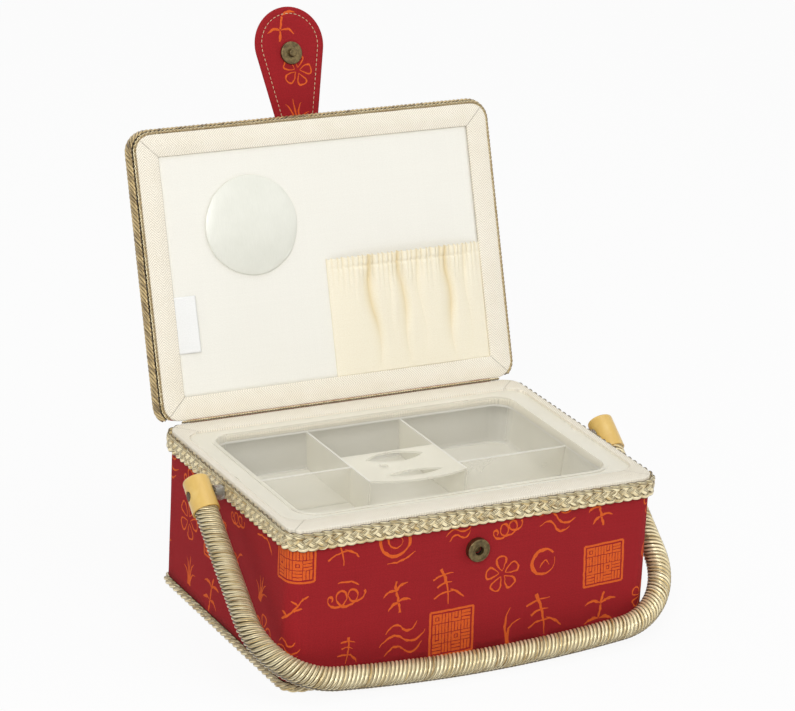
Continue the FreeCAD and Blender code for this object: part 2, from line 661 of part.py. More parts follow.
def make_tab_body(margin, thick):
    """Tab of a given thickness: its bend over the lid's edge and the hanging part below."""
    start = Vector(0, TAB_AXIS_Y, TAB_AXIS_Z)
    half_root = TAB_ROOT_WIDTH / 2 - margin
    corners = [(-half_root, -thick / 2), (half_root, -thick / 2), (half_root, thick / 2), (-half_root, thick / 2)]
    points = [start + Vector(x, 0, z) for x, z in corners]
    section = Part.makePolygon(points + points[:1])
    bend = Part.Wire(tab_bend_section()).makePipeShell([section], True, False)
    hang_y = TAB_FACE_Y - (TAB_THICK - thick) / 2
    hang = tab_outline(margin, TAB_BEND_R, hang_y).extrude(Vector(0, -thick, 0))
    return bend.fuse(hang)


def make_closure_tab():
    """Two layers of cloth sewn round a stiffener, with a round front edge."""
    hollow = make_tab_stiffener()
    knuckle = along_x(TAB_THICK, -TAB_ROOT_WIDTH / 2, TAB_ROOT_WIDTH / 2, TAB_AXIS_Y, TAB_AXIS_Z)
    tab = make_tab_body(0, TAB_THICK).fuse(knuckle).removeSplitter()
    return tab.cut(hollow).cut(make_stud_backplate())


def make_tab_stiffener():
    """Woven stiffener inside the seam, only in the flat part below the bend."""
    middle_y = TAB_FACE_Y - (TAB_THICK - TAB_STIFFENER) / 2
    outline = tab_outline(TAB_SEAM, TAB_BEND_R + TAB_SEAM, middle_y)
    sheet = outline.extrude(Vector(0, -TAB_STIFFENER, 0))
    return sheet.cut(make_stud_backplate())


def make_snap_stud():
    """Flat disc with a raised edge and the round stud that enters the socket."""
    disc = forward_disc(SNAP_D, TAB_FACE_Y + STUD_BASE, STUD_BASE, SNAP_Z)
    back_edges = [edge for edge in disc.Edges if edge.BoundBox.YMin > TAB_FACE_Y + STUD_BASE / 2]
    disc = disc.makeFillet(STUD_BASE / 3, back_edges)
    stud = forward_disc(STUD_D, TAB_FACE_Y + STUD_BASE + STUD_LENGTH, STUD_LENGTH + STUD_BASE, SNAP_Z)
    nose = [edge for edge in stud.Edges if edge.BoundBox.YMin > TAB_FACE_Y + STUD_BASE + STUD_LENGTH / 2]
    return disc.fuse(stud.makeFillet(STUD_D / 5, nose))


def make_stud_backplate():
    """Thin washer inside the tab that the stud's prongs are bent over."""
    plate_back = TAB_FACE_Y - (TAB_THICK - SNAP_PLATE) / 2
    prongs = forward_disc(STUD_D / 2, TAB_FACE_Y, (TAB_THICK - SNAP_PLATE) / 2, SNAP_Z)
    return forward_disc(SNAP_PLATE_D, plate_back, SNAP_PLATE, SNAP_Z).fuse(prongs)


def make_tab_anchor():
    """Root of the tab, sewn flat on the lid's top behind the fold."""
    half = TAB_ROOT_WIDTH / 2
    front = TAB_AXIS_Y + TAB_THICK / 2 + ANCHOR_GAP
    strip = box_between(-half, half, front, front + ANCHOR_LENGTH, LID_EDGE_TOP - ANCHOR_THICK,
                        TAB_AXIS_Z + LID_CROWN)
    top = crowned_block(LID_PLAN, LID_LOW, LID_EDGE_TOP + ANCHOR_THICK, LID_CROWN)
    under = crowned_block(LID_PLAN, LID_LOW, LID_EDGE_TOP, LID_CROWN)
    return strip.common(top).cut(under)


# Handle

def swung(shape):
    """Swing a piece of the hanging handle forward until its bar rests at the box's foot."""
    result = shape.copy()
    forward = math.degrees(math.atan2(-BAR_Y, PIVOT_Z - BAR_Z))
    result.rotate(Vector(0, 0, PIVOT_Z), Vector(1, 0, 0), -forward)
    return result


def on_circle(centre_x, centre_z, radius, degrees):
    angle = math.radians(degrees)
    return Vector(centre_x + radius * math.sin(angle), 0, centre_z - radius * math.cos(angle))


def handle_path(end_drop):
    """Arms, tangent corner arcs and the slightly bowed bar, in one smooth line."""
    bow_centre_z = PIVOT_Z - BAR_DROP + BAR_BOW_R
    corner_x = ARM_X - HANDLE_CORNER_R
    centre_gap = BAR_BOW_R - HANDLE_CORNER_R
    corner_z = bow_centre_z - math.sqrt(centre_gap ** 2 - corner_x ** 2)
    join = math.degrees(math.asin(corner_x / centre_gap))
    side = 90                   # degrees round the corner where it runs into the arm
    middle = (side + join) / 2
    top_z = PIVOT_Z - end_drop
    right_arc = [on_circle(corner_x, corner_z, HANDLE_CORNER_R, turn) for turn in (side, middle, join)]
    left_arc = [Vector(-point.x, 0, point.z) for point in reversed(right_arc)]
    bar_middle = Vector(0, 0, PIVOT_Z - BAR_DROP)
    edges = [
        Part.makeLine(Vector(ARM_X, 0, top_z), right_arc[0]),
        Part.Arc(*right_arc).toShape(),
        Part.Arc(right_arc[-1], bar_middle, left_arc[0]).toShape(),
        Part.Arc(*left_arc).toShape(),
        Part.makeLine(left_arc[-1], Vector(-ARM_X, 0, top_z)),
    ]
    return Part.Wire(edges)


def socket_floor_drop():
    return FERRULE_BELOW - FERRULE_SOCKET


def make_handle_core():
    return sweep_round(handle_path(socket_floor_drop()), CORE_D)


def make_handle_wrap():
    """Cord wound tightly over the core, as one sleeve."""
    sleeve = sweep_round(handle_path(socket_floor_drop()), WRAP_D)
    return sleeve.cut(sweep_round(handle_path(socket_floor_drop()), CORE_D + 2 * CORE_GAP))


def make_ferrule(side):
    """Turned wooden end: slightly flared, rounded at the top, bored for its bolt and the wrap.

    The bolt's head sits in a seat on the outer side.
    """
    low = PIVOT_Z - FERRULE_BELOW
    centre = Vector(side * ARM_X, 0, low)
    height = FERRULE_ABOVE + FERRULE_BELOW
    barrel = Part.makeCone(FERRULE_MOUTH_D / 2, FERRULE_TOP_D / 2, height, centre)
    top = [edge for edge in barrel.Edges if edge.BoundBox.ZMin > PIVOT_Z + FERRULE_ABOVE / 2]
    barrel = barrel.makeFillet(FERRULE_ROUND, top)
    socket_d = WRAP_D + 2 * FERRULE_SOCKET_GAP
    socket = Part.makeCylinder(socket_d / 2, FERRULE_SOCKET + BEYOND, centre - Vector(0, 0, BEYOND))
    bore = along_x(BOLT_D + 2 * BOLT_RUN, side * (ARM_X - WRAP_D), side * (ARM_X + WRAP_D), 0, PIVOT_Z)
    seat_d = BOLT_HEAD_D + 2 * BOLT_HEAD_SIDE_GAP
    seat = along_x(seat_d, side * head_seat(), side * (ARM_X + WRAP_D), 0, PIVOT_Z)
    return barrel.cut(socket).cut(bore).cut(seat)


def ferrule_radius():
    """Ferrule's radius at its bolt."""
    share = FERRULE_BELOW / (FERRULE_ABOVE + FERRULE_BELOW)
    return (FERRULE_MOUTH_D + (FERRULE_TOP_D - FERRULE_MOUTH_D) * share) / 2


def head_seat():
    """Distance from the middle of the box to the floor of a bolt head's seat."""
    return ARM_X + ferrule_radius() - BOLT_HEAD_SUNK


def make_bolt(side):
    """Bolt with a low round head sunk in the ferrule, through the wall to its nut."""
    head_face = head_seat() + BOLT_HEAD_GAP
    inner_end = HALF_WIDTH - ROOM_INSET - WASHER - NUT - BOLT_END
    shank = along_x(BOLT_D, side * inner_end, side * head_face, 0, PIVOT_Z)
    head = along_x(BOLT_HEAD_D, side * head_face, side * (head_face + BOLT_HEAD), 0, PIVOT_Z)
    rim = [edge for edge in head.Edges if abs(edge.BoundBox.Center.x) > head_face + BOLT_HEAD / 2]
    outer = [edge for edge in rim if edge.BoundBox.XLength < SMALLEST_R]
    return shank.fuse(head.makeFillet(BOLT_HEAD / 2, outer))


def tube_on_bolt(outer_d, side, near, far):
    """Ring round a bolt, between two distances from the middle of the box."""
    ring = along_x(outer_d, side * near, side * far, 0, PIVOT_Z)
    return ring.cut(bolt_holes())


def make_spacer(side):
    near = HALF_WIDTH + BRAID_THICK
    return tube_on_bolt(SPACER_D, side, near, ARM_X - ferrule_radius() - SPACER_GAP)


def make_washer(side):
    near = HALF_WIDTH - ROOM_INSET - WASHER
    return tube_on_bolt(WASHER_D, side, near, near + WASHER)


def make_nut(side):
    """Hexagon nut inside the lining."""
    far = HALF_WIDTH - ROOM_INSET - WASHER
    corner_r = NUT_ACROSS / math.sqrt(3)
    points = []
    for turn in range(7):
        angle = math.radians(60 * turn)
        points.append(Vector(side * (far - NUT), corner_r * math.cos(angle), PIVOT_Z + corner_r * math.sin(angle)))
    prism = Part.Face(Part.makePolygon(points)).extrude(Vector(side * NUT, 0, 0))
    return prism.cut(bolt_holes())


# Tray

def tapered(plan, low, high, draft_x, draft_y):
    """Block whose walls lean in by the draft over its height, going down."""
    half_x, front, back, radius = plan
    foot = (half_x - draft_x, front + draft_y, back - draft_y, radius - min(draft_x, draft_y))
    return Part.makeLoft([outline_wire(foot, low), outline_wire(plan, high)], True, True)


def round_floor(shape, level, radius):
    """Round the lowest edge loop of a block."""
    loop = [edge for edge in shape.Edges if abs(edge.BoundBox.ZMax - level) < SMALLEST_R]
    return shape.makeFillet(radius, loop)


def tray_inside():
    """The space in the tray's well, run on above its mouth."""
    well = tapered(WELL_PLAN, TRAY_FLOOR, FLANGE_TOP, TRAY_DRAFT_X, TRAY_DRAFT_Y)
    well = round_floor(well, TRAY_FLOOR, TRAY_FLOOR_R)
    return well.fuse(block(WELL_PLAN, FLANGE_TOP, FLANGE_TOP + BEYOND))


def tray_outside():
    outer = inset(WELL_PLAN, -TRAY_WALL)
    shell = tapered(outer, TRAY_LOW, FLANGE_TOP, TRAY_DRAFT_X, TRAY_DRAFT_Y)
    return round_floor(shell, TRAY_LOW, TRAY_FLOOR_R + TRAY_WALL)


def tray_flange():
    """Flat rim with a raised bead round the mouth and a finger notch in each end."""
    plan = inset(RECESS_PLAN, TAPE / 2 + FLANGE_GAP)
    flange = block(plan, FLANGE_LOW, FLANGE_TOP)
    bead_plan = inset(WELL_PLAN, -TRAY_WALL - FLANGE_BEAD_W)
    flange = flange.fuse(block(bead_plan, FLANGE_LOW, FLANGE_TOP + FLANGE_BEAD_H))
    for side in (-1, 1):
        centre_x = side * (plan[0] + FLANGE_NOTCH_R - FLANGE_NOTCH_DEPTH)
        base = Vector(centre_x, 0, FLANGE_LOW - BEYOND)
        flange = flange.cut(Part.makeCylinder(FLANGE_NOTCH_R, TRAY_WALL + 2 * BEYOND, base))
    return flange


def tray_dividers():
    """Two long dividers from the back wall and two cross dividers out to the side walls."""
    half = DIVIDER_THICK / 2
    reach_x = TRAY_WELL_X + TRAY_WALL
    reach_y = TRAY_WELL_Y + TRAY_WALL
    level = (TRAY_LOW, DIVIDER_TOP)
    return [
        box_between(DIVIDER_LEFT_X - half, DIVIDER_LEFT_X + half, DIVIDER_LEFT_END_Y, reach_y, *level),
        box_between(DIVIDER_RIGHT_X - half, DIVIDER_RIGHT_X + half, DIVIDER_RIGHT_END_Y, reach_y, *level),
        box_between(-reach_x, DIVIDER_LEFT_X, CROSS_LEFT_Y - half, CROSS_LEFT_Y + half, *level),
        box_between(DIVIDER_RIGHT_X, reach_x, CROSS_RIGHT_Y - half, CROSS_RIGHT_Y + half, *level),
    ]


def grip_hole(y, width):
    """Eye shaped finger hole right through the bridge, between two equal arcs."""
    low = DIVIDER_TOP - BEYOND
    tips = [Vector(BRIDGE_X + side * GRIP_LENGTH / 2, y, low) for side in (-1, 1)]
    sides = [Vector(BRIDGE_X, y + side * width / 2, low) for side in (-1, 1)]
    arcs = [Part.Arc(tips[0], sides[0], tips[1]).toShape(), Part.Arc(tips[1], sides[1], tips[0]).toShape()]
    return Part.Face(Part.Wire(arcs)).extrude(Vector(0, 0, 2 * BEYOND))


def tray_bridge():
    """Plate between the long dividers with a bowed front, two finger holes and a small round one."""
    left = DIVIDER_LEFT_X - DIVIDER_THICK / 2
    right = DIVIDER_RIGHT_X + DIVIDER_THICK / 2
    low = DIVIDER_TOP - TRAY_WALL
    back_left = Vector(left, BRIDGE_BACK_Y, low)
    back_right = Vector(right, BRIDGE_BACK_Y, low)
    front_left = Vector(left, DIVIDER_LEFT_END_Y, low)
    front_right = Vector(right, DIVIDER_RIGHT_END_Y, low)
    bulge = Vector(BRIDGE_X, BRIDGE_BULGE_Y, low)
    edges = [
        Part.makeLine(back_left, front_left),
        Part.Arc(front_left, bulge, front_right).toShape(),
        Part.makeLine(front_right, back_right),
        Part.makeLine(back_right, back_left),
    ]
    plate = Part.Face(Part.Wire(edges)).extrude(Vector(0, 0, TRAY_WALL))
    hole_base = Vector(BRIDGE_X - BRIDGE_HOLE_LEFT, BRIDGE_BACK_Y - BRIDGE_HOLE_FROM_BACK, low - BEYOND)
    hole = Part.makeCylinder(BRIDGE_HOLE_D / 2, TRAY_WALL + 2 * BEYOND, hole_base)
    back_grip = grip_hole(BRIDGE_BACK_Y - GRIP_FROM_BACK, GRIP_BACK_WIDTH)
    front_grip = grip_hole(BRIDGE_BULGE_Y + GRIP_FROM_FRONT, GRIP_FRONT_WIDTH)
    return plate.cut(back_grip).cut(front_grip).cut(hole)


def make_tray():
    """One moulding: drafted well, flange, dividers and bridge."""
    outside = tray_outside()
    shell = outside.fuse(tray_flange()).cut(tray_inside())
    dividers = [divider.common(outside) for divider in tray_dividers()]
    return shell.fuse(dividers + [tray_bridge()]).removeSplitter()


# Every node, by the body that carries it.
BOX_NODES = {
    "wall_board": make_wall_board,
    "bottom_board": make_bottom_board,
    "bottom_cloth": make_bottom_cloth,
    "cover_cloth": make_cover_cloth,
    "lining": make_lining,
    "tray_ledge": make_tray_ledge,
    "rim_binding": make_rim_binding,
    "rim_braid": make_rim_braid,
    "base_cord": make_base_cord,
    "hinge_leaf_box": make_hinge_leaf_box,
    "snap_socket": make_snap_socket,
    "socket_magnet": make_socket_magnet,
    "socket_backplate": make_socket_backplate,
}
LID_NODES = {
    "lid_board": make_lid_board,
    "lid_padding": make_lid_padding,
    "lid_cover": make_lid_cover,
    "lid_braid": make_lid_braid,
    "lid_piping": make_lid_piping,
    "lid_binding": make_lid_binding,
    "lid_liner": make_lid_liner,
    "hinge_leaf_lid": make_hinge_leaf_lid,
    "pincushion": make_pincushion,
    "cushion_base": make_cushion_base,
    "pocket": make_pocket,
    "pocket_elastic": make_pocket_elastic,
    "blank_label": make_blank_label,
    "tab_anchor": make_tab_anchor,
}
TAB_NODES = {
    "closure_tab": make_closure_tab,
    "tab_stiffener": make_tab_stiffener,
    "snap_stud": make_snap_stud,
    "stud_backplate": make_stud_backplate,
}
HANDLE_NODES = {
    "handle_core": make_handle_core,
    "handle_wrap": make_handle_wrap,
}

# Nodes that come in a pair, left and right.
BOLT_PAIRS = {
    "handle_bolt": make_bolt,
    "handle_spacer": make_spacer,
    "bolt_washer": make_washer,
    "bolt_nut": make_nut,
}
HANDLE_PAIRS = {"ferrule": make_ferrule}
SIDES = {"left": -1, "right": 1}


def as_drawn(shape):
    return shape


def write(name, shape):
    shape.exportStep(os.path.join("parts", name + ".step"))


def export(nodes, place):
    for name, make in nodes.items():
        write(name, place(make()))


def export_pairs(nodes, place):
    for side_name, side in SIDES.items():
        for name, make in nodes.items():
            write(name + "_" + side_name, place(make(side)))


os.makedirs("parts", exist_ok=True)
export(BOX_NODES, as_drawn)
export_pairs(BOLT_PAIRS, as_drawn)
export({"tray": make_tray}, as_drawn)
export(LID_NODES, opened)
export(TAB_NODES, unfolded)
export(HANDLE_NODES, swung)
export_pairs(HANDLE_PAIRS, swung)
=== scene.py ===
import json
import math
import random

import bmesh
import bpy
from mathutils import Matrix, Vector, noise
from mathutils.geometry import delaunay_2d_cdt


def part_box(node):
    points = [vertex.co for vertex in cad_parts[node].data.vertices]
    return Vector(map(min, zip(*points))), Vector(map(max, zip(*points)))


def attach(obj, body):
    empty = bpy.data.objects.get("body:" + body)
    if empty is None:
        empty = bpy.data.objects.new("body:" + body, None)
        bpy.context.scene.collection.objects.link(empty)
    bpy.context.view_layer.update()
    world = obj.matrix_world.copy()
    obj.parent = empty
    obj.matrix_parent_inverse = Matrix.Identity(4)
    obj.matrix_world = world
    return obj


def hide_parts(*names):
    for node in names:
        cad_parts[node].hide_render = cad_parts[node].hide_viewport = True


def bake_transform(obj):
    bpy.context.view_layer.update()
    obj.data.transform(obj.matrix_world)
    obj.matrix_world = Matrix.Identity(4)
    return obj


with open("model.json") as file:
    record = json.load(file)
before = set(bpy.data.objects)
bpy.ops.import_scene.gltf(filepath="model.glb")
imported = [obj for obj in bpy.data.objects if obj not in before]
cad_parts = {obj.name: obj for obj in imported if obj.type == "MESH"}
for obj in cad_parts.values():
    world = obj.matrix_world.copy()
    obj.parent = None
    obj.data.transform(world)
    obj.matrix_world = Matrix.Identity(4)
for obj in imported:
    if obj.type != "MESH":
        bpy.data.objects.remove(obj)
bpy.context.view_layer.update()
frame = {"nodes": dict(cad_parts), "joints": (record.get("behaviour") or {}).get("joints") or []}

cad_nodes = frame["nodes"]
cad_pivots = {joint["name"]: Vector(joint["pos_m"]) for joint in frame["joints"] if "pos_m" in joint}
MM = 0.001


# The view of the box: from the left of the front and a little above, through a long lens.

VIEW_AZIMUTH = math.radians(-28.28)
VIEW_ELEVATION = math.radians(20.16)
VIEW_ROLL = math.radians(2.86)
VIEW_DISTANCE = 2.0677
VIEW_TARGET = Vector((-0.0012, 0.0197, 0.1490))
LENS = 159.5
LENS_SHIFT = (0.0016, 0.0057)
FAR_CLIP = 20


def put(name, data):
    """Puts a thing into the scene."""
    thing = bpy.data.objects.new(name, data)
    bpy.context.collection.objects.link(thing)
    return thing


def look_at_the_box():
    """Camera at its distance from the target, with the long lens's own small shift and roll."""
    level = math.cos(VIEW_ELEVATION)
    along = -math.cos(VIEW_AZIMUTH)
    back = Vector((math.sin(VIEW_AZIMUTH) * level, along * level, math.sin(VIEW_ELEVATION)))
    lens = bpy.data.cameras.new("view")
    lens.lens = LENS
    lens.shift_x, lens.shift_y = LENS_SHIFT
    lens.clip_end = FAR_CLIP
    camera = put("view", lens)
    turned = (-back).to_track_quat("-Z", "Y").to_matrix() @ Matrix.Rotation(VIEW_ROLL, 3, "Z")
    camera.matrix_world = Matrix.Translation(VIEW_TARGET + back * VIEW_DISTANCE) @ turned.to_4x4()
    bpy.context.scene.camera = camera


look_at_the_box()


# The room: a pale floor with no edge in view, a broad window light from the front left, a
# weaker one from the right and a ceiling light, all soft.

FLOOR_SIZE = 12.0
FLOOR_GREY = 0.80
FLOOR_WHITE = 0.92              # share of plain white that the eye sees in the floor
WHITE = (1, 1, 1, 1)
WORLD_LIGHT = 0.47
LIGHTS_AIM = Vector((0, 0, 0.1))
ROOM_LIGHTS = {                 # place, size and watts
    "window_left": ((-1.5, -2.1, 1.7), 1.0, 42),
    "window_right": ((2.2, -1.6, 1.2), 1.6, 11),
    "ceiling": ((0.2, 0.1, 2.6), 2.0, 15),
}


class Flow:
    """What flows out of a node. Sums on it add the nodes that work them out."""

    def __init__(self, socket):
        self.socket = socket
        self.tree = socket.id_data

    def maths(self, operation, other=0.0):
        return out(self.tree, "ShaderNodeMath", {0: self, 1: other}, operation=operation)

    def taken_by(self, operation, other):
        """The same, with this as the second number."""
        return out(self.tree, "ShaderNodeMath", {0: other, 1: self}, operation=operation)

    def __add__(self, other):
        return self.maths("ADD", other)

    def __sub__(self, other):
        return self.maths("SUBTRACT", other)

    def __mul__(self, other):
        return self.maths("MULTIPLY", other)

    def __truediv__(self, other):
        return self.maths("DIVIDE", other)

    def __rsub__(self, other):
        return self.taken_by("SUBTRACT", other)

    def __rtruediv__(self, other):
        return self.taken_by("DIVIDE", other)

    def size(self):
        return self.maths("ABSOLUTE")


def set_inputs(node, inputs):
    """Sets a node's inputs, each to a value, a #RRGGBB colour or what flows from another node."""
    for key, value in dict(inputs).items():
        if isinstance(value, Flow):
            node.id_data.links.new(value.socket, node.inputs[key])
        else:
            node.inputs[key].default_value = linear(value) if str(value)[:1] == "#" else value


def linear(code):
    """Colour of a #RRGGBB code as Blender counts it."""
    channels = [int(code[i:i + 2], 16) / 255 for i in (1, 3, 5)]
    return tuple(c / 12.92 if c <= 0.04045 else ((c + 0.055) / 1.055) ** 2.4 for c in channels) + (1.0,)


def add_node(tree, kind, inputs=(), **settings):
    node = tree.nodes.new(kind)
    for name, value in settings.items():
        setattr(node, name, value)
    set_inputs(node, inputs)
    return node


def out(tree, kind, inputs=(), output=0, **settings):
    """Adds a node and takes one of its outputs."""
    return Flow(add_node(tree, kind, inputs, **settings).outputs[output])


def new_piece(name, points, faces, *materials, edges=()):
    """Smooth piece made of points and faces."""
    mesh = bpy.data.meshes.new(name)
    mesh.from_pydata(points, edges, faces)
    for material in materials:
        mesh.materials.append(material)
    for face in mesh.polygons:
        face.use_smooth = True
    return put(name, mesh)


def show_white(tree, surface, share, end):
    """Ends a tree with a surface that looks whiter to the camera and in reflections only."""
    ray = add_node(tree, "ShaderNodeLightPath").outputs
    mirror = Flow(ray["Is Glossy Ray"]).maths("MAXIMUM", Flow(ray["Is Transmission Ray"]))
    seen = Flow(ray["Is Camera Ray"]).maths("MAXIMUM", mirror)
    white = out(tree, "ShaderNodeEmission", {"Color": WHITE, "Strength": 1.0})
    mixed = out(tree, "ShaderNodeMixShader", {0: seen * share, 1: surface, 2: white})
    add_node(tree, end, {"Surface": mixed})


def set_the_room():
    half = FLOOR_SIZE / 2
    corners = [(-half, -half, 0), (half, -half, 0), (half, half, 0), (-half, half, 0)]
    paint = bpy.data.materials.new("floor paint")
    floor = new_piece("floor", corners, [(0, 1, 2, 3)], paint)
    world = bpy.context.scene.world = bpy.data.worlds.new("room")
    for holder in (paint, world):
        holder.use_nodes = True
        holder.node_tree.nodes.clear()
    matt = out(paint.node_tree, "ShaderNodeBsdfDiffuse", {"Color": (FLOOR_GREY,) * 3 + (1,)})
    show_white(paint.node_tree, matt, FLOOR_WHITE, "ShaderNodeOutputMaterial")
    sky = out(world.node_tree, "ShaderNodeBackground", {"Color": WHITE, "Strength": WORLD_LIGHT})
    show_white(world.node_tree, sky, 1.0, "ShaderNodeOutputWorld")
    for name, (place, size, watts) in ROOM_LIGHTS.items():
        lamp = bpy.data.lights.new(name, "AREA")
        lamp.size, lamp.energy = size, watts
        aim = (LIGHTS_AIM - Vector(place)).to_track_quat("-Z", "Y")
        put(name, lamp).matrix_world = Matrix.Translation(place) @ aim.to_matrix().to_4x4()
    bpy.context.scene.view_settings.view_transform = "Standard"


set_the_room()


# The cloth on the walls: fine red cotton over thin wadding, glued round the board walls with its
# seam at the middle of the back. It is printed in orange with brush-drawn sprigs, rings and frets.

RED = "#B0242A"
RED_WORN = "#851B20"
ORANGE = "#F26F2A"
THREAD = 0.42 * MM
BOX_CORNER_R = 10 * MM
CLOTH_THICK = 0.7 * MM
CLOTH_CELL = 7.0            # spacing of the cloth's own grid, in the flat pattern's millimetres
BEND_CELL = 1.9
CLOTH_WAVE = 0.22 * MM      # how unevenly it lies on the wadding
SEAM_MARGIN = 0.6           # how far the print keeps from the cloth's edges
MOTIF_CELL = (33.0, 30.0)
MOTIF_SLIP = (5, 4)         # how far a motif is off the middle of its cell at most
MOTIF_TURN = 16
MOTIF_SIZES = (0.75, 1.45)
STAMP_SIZES = (1.1, 1.25)
BRUSH_WOBBLE = 0.55         # how unsteady the brush is, in the flat pattern's millimetres
BRUSH_HAND = 3              # start of the noise that shakes the brush, so that each run draws the same
PATTERN = "flat pattern"
noise.seed_set(BRUSH_HAND)


def new_group(kind, name, inputs, outputs):
    """Empty node group with named sockets; returns it and what flows in at each."""
    group = bpy.data.node_groups.new(name, kind)
    for way, sockets in (("INPUT", inputs), ("OUTPUT", outputs)):
        for title, sort in sockets.items():
            group.interface.new_socket(title, in_out=way, socket_type="NodeSocket" + sort)
    return group, {socket.name: Flow(socket) for socket in group.nodes.new("NodeGroupInput").outputs}


def mix(share, first, second):
    inputs = {0: share, 2: first, 3: second}
    return out(share.tree, "ShaderNodeMix", inputs, data_type="FLOAT")


def mix_colors(share, first, second, blend="MIX"):
    tree = (share if isinstance(share, Flow) else first).tree
    inputs = {0: share, 6: first, 7: second}
    return out(tree, "ShaderNodeMix", inputs, 2, data_type="RGBA", blend_type=blend)


def grainy(place, per_metre, detail=3.0):
    inputs = {"Vector": place, "Scale": per_metre, "Detail": detail, "Roughness": 0.6}
    return out(place.tree, "ShaderNodeTexNoise", inputs, "Fac")


def spread(value, low, high, to_low=0.0, to_high=1.0):
    inputs = {"Value": value, "From Min": low, "From Max": high, "To Min": to_low, "To Max": to_high}
    return out(value.tree, "ShaderNodeMapRange", inputs)


def stretched(place, by):
    return out(place.tree, "ShaderNodeVectorMath", {0: place, 1: by}, operation="MULTIPLY")


def plain_weave_group():
    """Over-and-under threads of a plain cloth: their height, and how light each one is."""
    inputs = {"Place": "Vector", "Thread": "Float"}
    group, given = new_group("ShaderNodeTree", "plain weave", inputs, {"Height": "Float", "Tint": "Float"})
    place = out(group, "ShaderNodeVectorMath", {0: given["Place"], 3: 1.0 / given["Thread"]}, operation="SCALE")
    parts = add_node(group, "ShaderNodeSeparateXYZ", {0: place}).outputs
    rows, tints, cells = [], [], []
    for part in (Flow(parts["X"]), Flow(parts["Y"])):
        rows.append((part * math.pi).maths("SINE").size())
        cells.append(part.maths("FLOOR"))
        tints.append(out(group, "ShaderNodeTexWhiteNoise", {"W": cells[-1]}, "Value", noise_dimensions="1D"))
    odd = (cells[0] + cells[1]).maths("PINGPONG", 1.0)
    add_node(group, "NodeGroupOutput", {"Height": mix(odd, *rows), "Tint": mix(odd, *tints)})
    return group


def plainly_named(values):
    return {name.replace("_", " "): value for name, value in values.items()}


def new_material(name, uv_map=None, **plain_sockets):
    """Material with one Principled shader, its plain sockets set by name with _ for a space; also where
    a point is: on the piece's own flat pattern, or in the box's own space."""
    material = bpy.data.materials.new(name)
    material.use_nodes = True
    tree = material.node_tree
    shader = tree.nodes["Principled BSDF"]
    set_inputs(shader, plainly_named(plain_sockets))
    if uv_map:
        return material, shader, out(tree, "ShaderNodeUVMap", uv_map=uv_map)
    return material, shader, out(tree, "ShaderNodeTexCoord", output="Object")


def finish_material(shader, color, height=None, relief=0.0, **sockets):
    """Gives a material its colour, its bumps and whatever else varies over it."""
    set_inputs(shader, {"Base Color": color, **plainly_named(sockets)})
    if height:
        inputs = {"Height": height, "Distance": relief, "Strength": 1.0}
        set_inputs(shader, {"Normal": out(shader.id_data, "ShaderNodeBump", inputs)})


def cotton(name, main, worn, uv_map=None, thread=THREAD, relief=0.12 * MM, roughness=0.85, uneven=0.05):
    """Plain woven cotton: each thread a little lighter or darker, and soft patches of wear."""
    material, shader, place = new_material(name, uv_map, Roughness=roughness, Specular_IOR_Level=0.2)
    inputs = {"Place": place, "Thread": thread}
    weave = add_node(place.tree, "ShaderNodeGroup", inputs, node_tree=PLAIN_WEAVE).outputs
    patches = spread(grainy(place, 28.0), 0.35, 0.75)
    slubs = spread(grainy(place, 1300.0, 2.0), 0.35, 0.65)
    base = mix_colors(patches * 0.12, main, worn)
    base = mix_colors(slubs * 0.45, base, worn)
    shade = spread(Flow(weave["Tint"]), 0.0, 1.0, 1 - uneven, 1 + uneven)
    finish_material(shader, mix_colors(1.0, base, shade, "MULTIPLY"), Flow(weave["Height"]) + slubs * 0.5, relief)
    return material


PLAIN_WEAVE = plain_weave_group()
PRINTED_RED = cotton("red cotton", RED, RED_WORN, PATTERN)
PRINT_INK = cotton("orange ink on cotton", ORANGE, "#D04A22", PATTERN, roughness=0.8)


def stroke(points, press, steps=10):
    """Brush stroke: a bent line through three points, and how wide the brush presses at each."""
    start, middle, end = (Vector(point) for point in points)
    path = []
    for step in range(steps + 1):
        t = step / steps
        width = (1 - t) ** 2 * press[0] + 2 * t * (1 - t) * press[1] + t ** 2 * press[2]
        path.append((start.lerp(middle, t).lerp(middle.lerp(end, t), t), width))
    return path


def bamboo():
    cane = [((0.4, -11), (1.0, -8), (0.3, -4.4)), ((0.3, -3.4), (0.9, 0), (0.2, 3.6)),
            ((0.3, 4.6), (0.2, 8), (1.2, 11))]
    leaves = [((0.6, -4), (5, -1), (9.5, -5.5)), ((0.3, 4), (-4.5, 7.5), (-9, 3)),
              ((0.3, 4), (4, 8.5), (8.8, 7.4)), ((0.2, -4), (-3.5, -3), (-7.5, -7.2))]
    return [stroke(line, (1.2, 1.5, 1.0)) for line in cane] + [stroke(line, (0.3, 2.8, 0.2)) for line in leaves]


def reeds():
    tips = [(-9.5, 1.5), (-5, 8.5), (0.8, 11), (6, 7), (9.5, 0)]
    return [stroke(((0.2 * x, -10), (0.15 * x, y * 0.5), (x, y)), (1.0, 1.5, 0.2)) for x, y in tips]


def ripples():
    lines = []
    for row, reach in ((-5, 9), (0, 11), (5, 7.5)):
        lines.append(stroke(((-reach, row - 1), (-reach * 0.4, row + 5), (0, row)), (0.4, 1.4, 0.7)))
        lines.append(stroke(((0, row), (reach * 0.5, row - 5), (reach, row + 1.4)), (0.7, 1.6, 0.3)))
    return lines


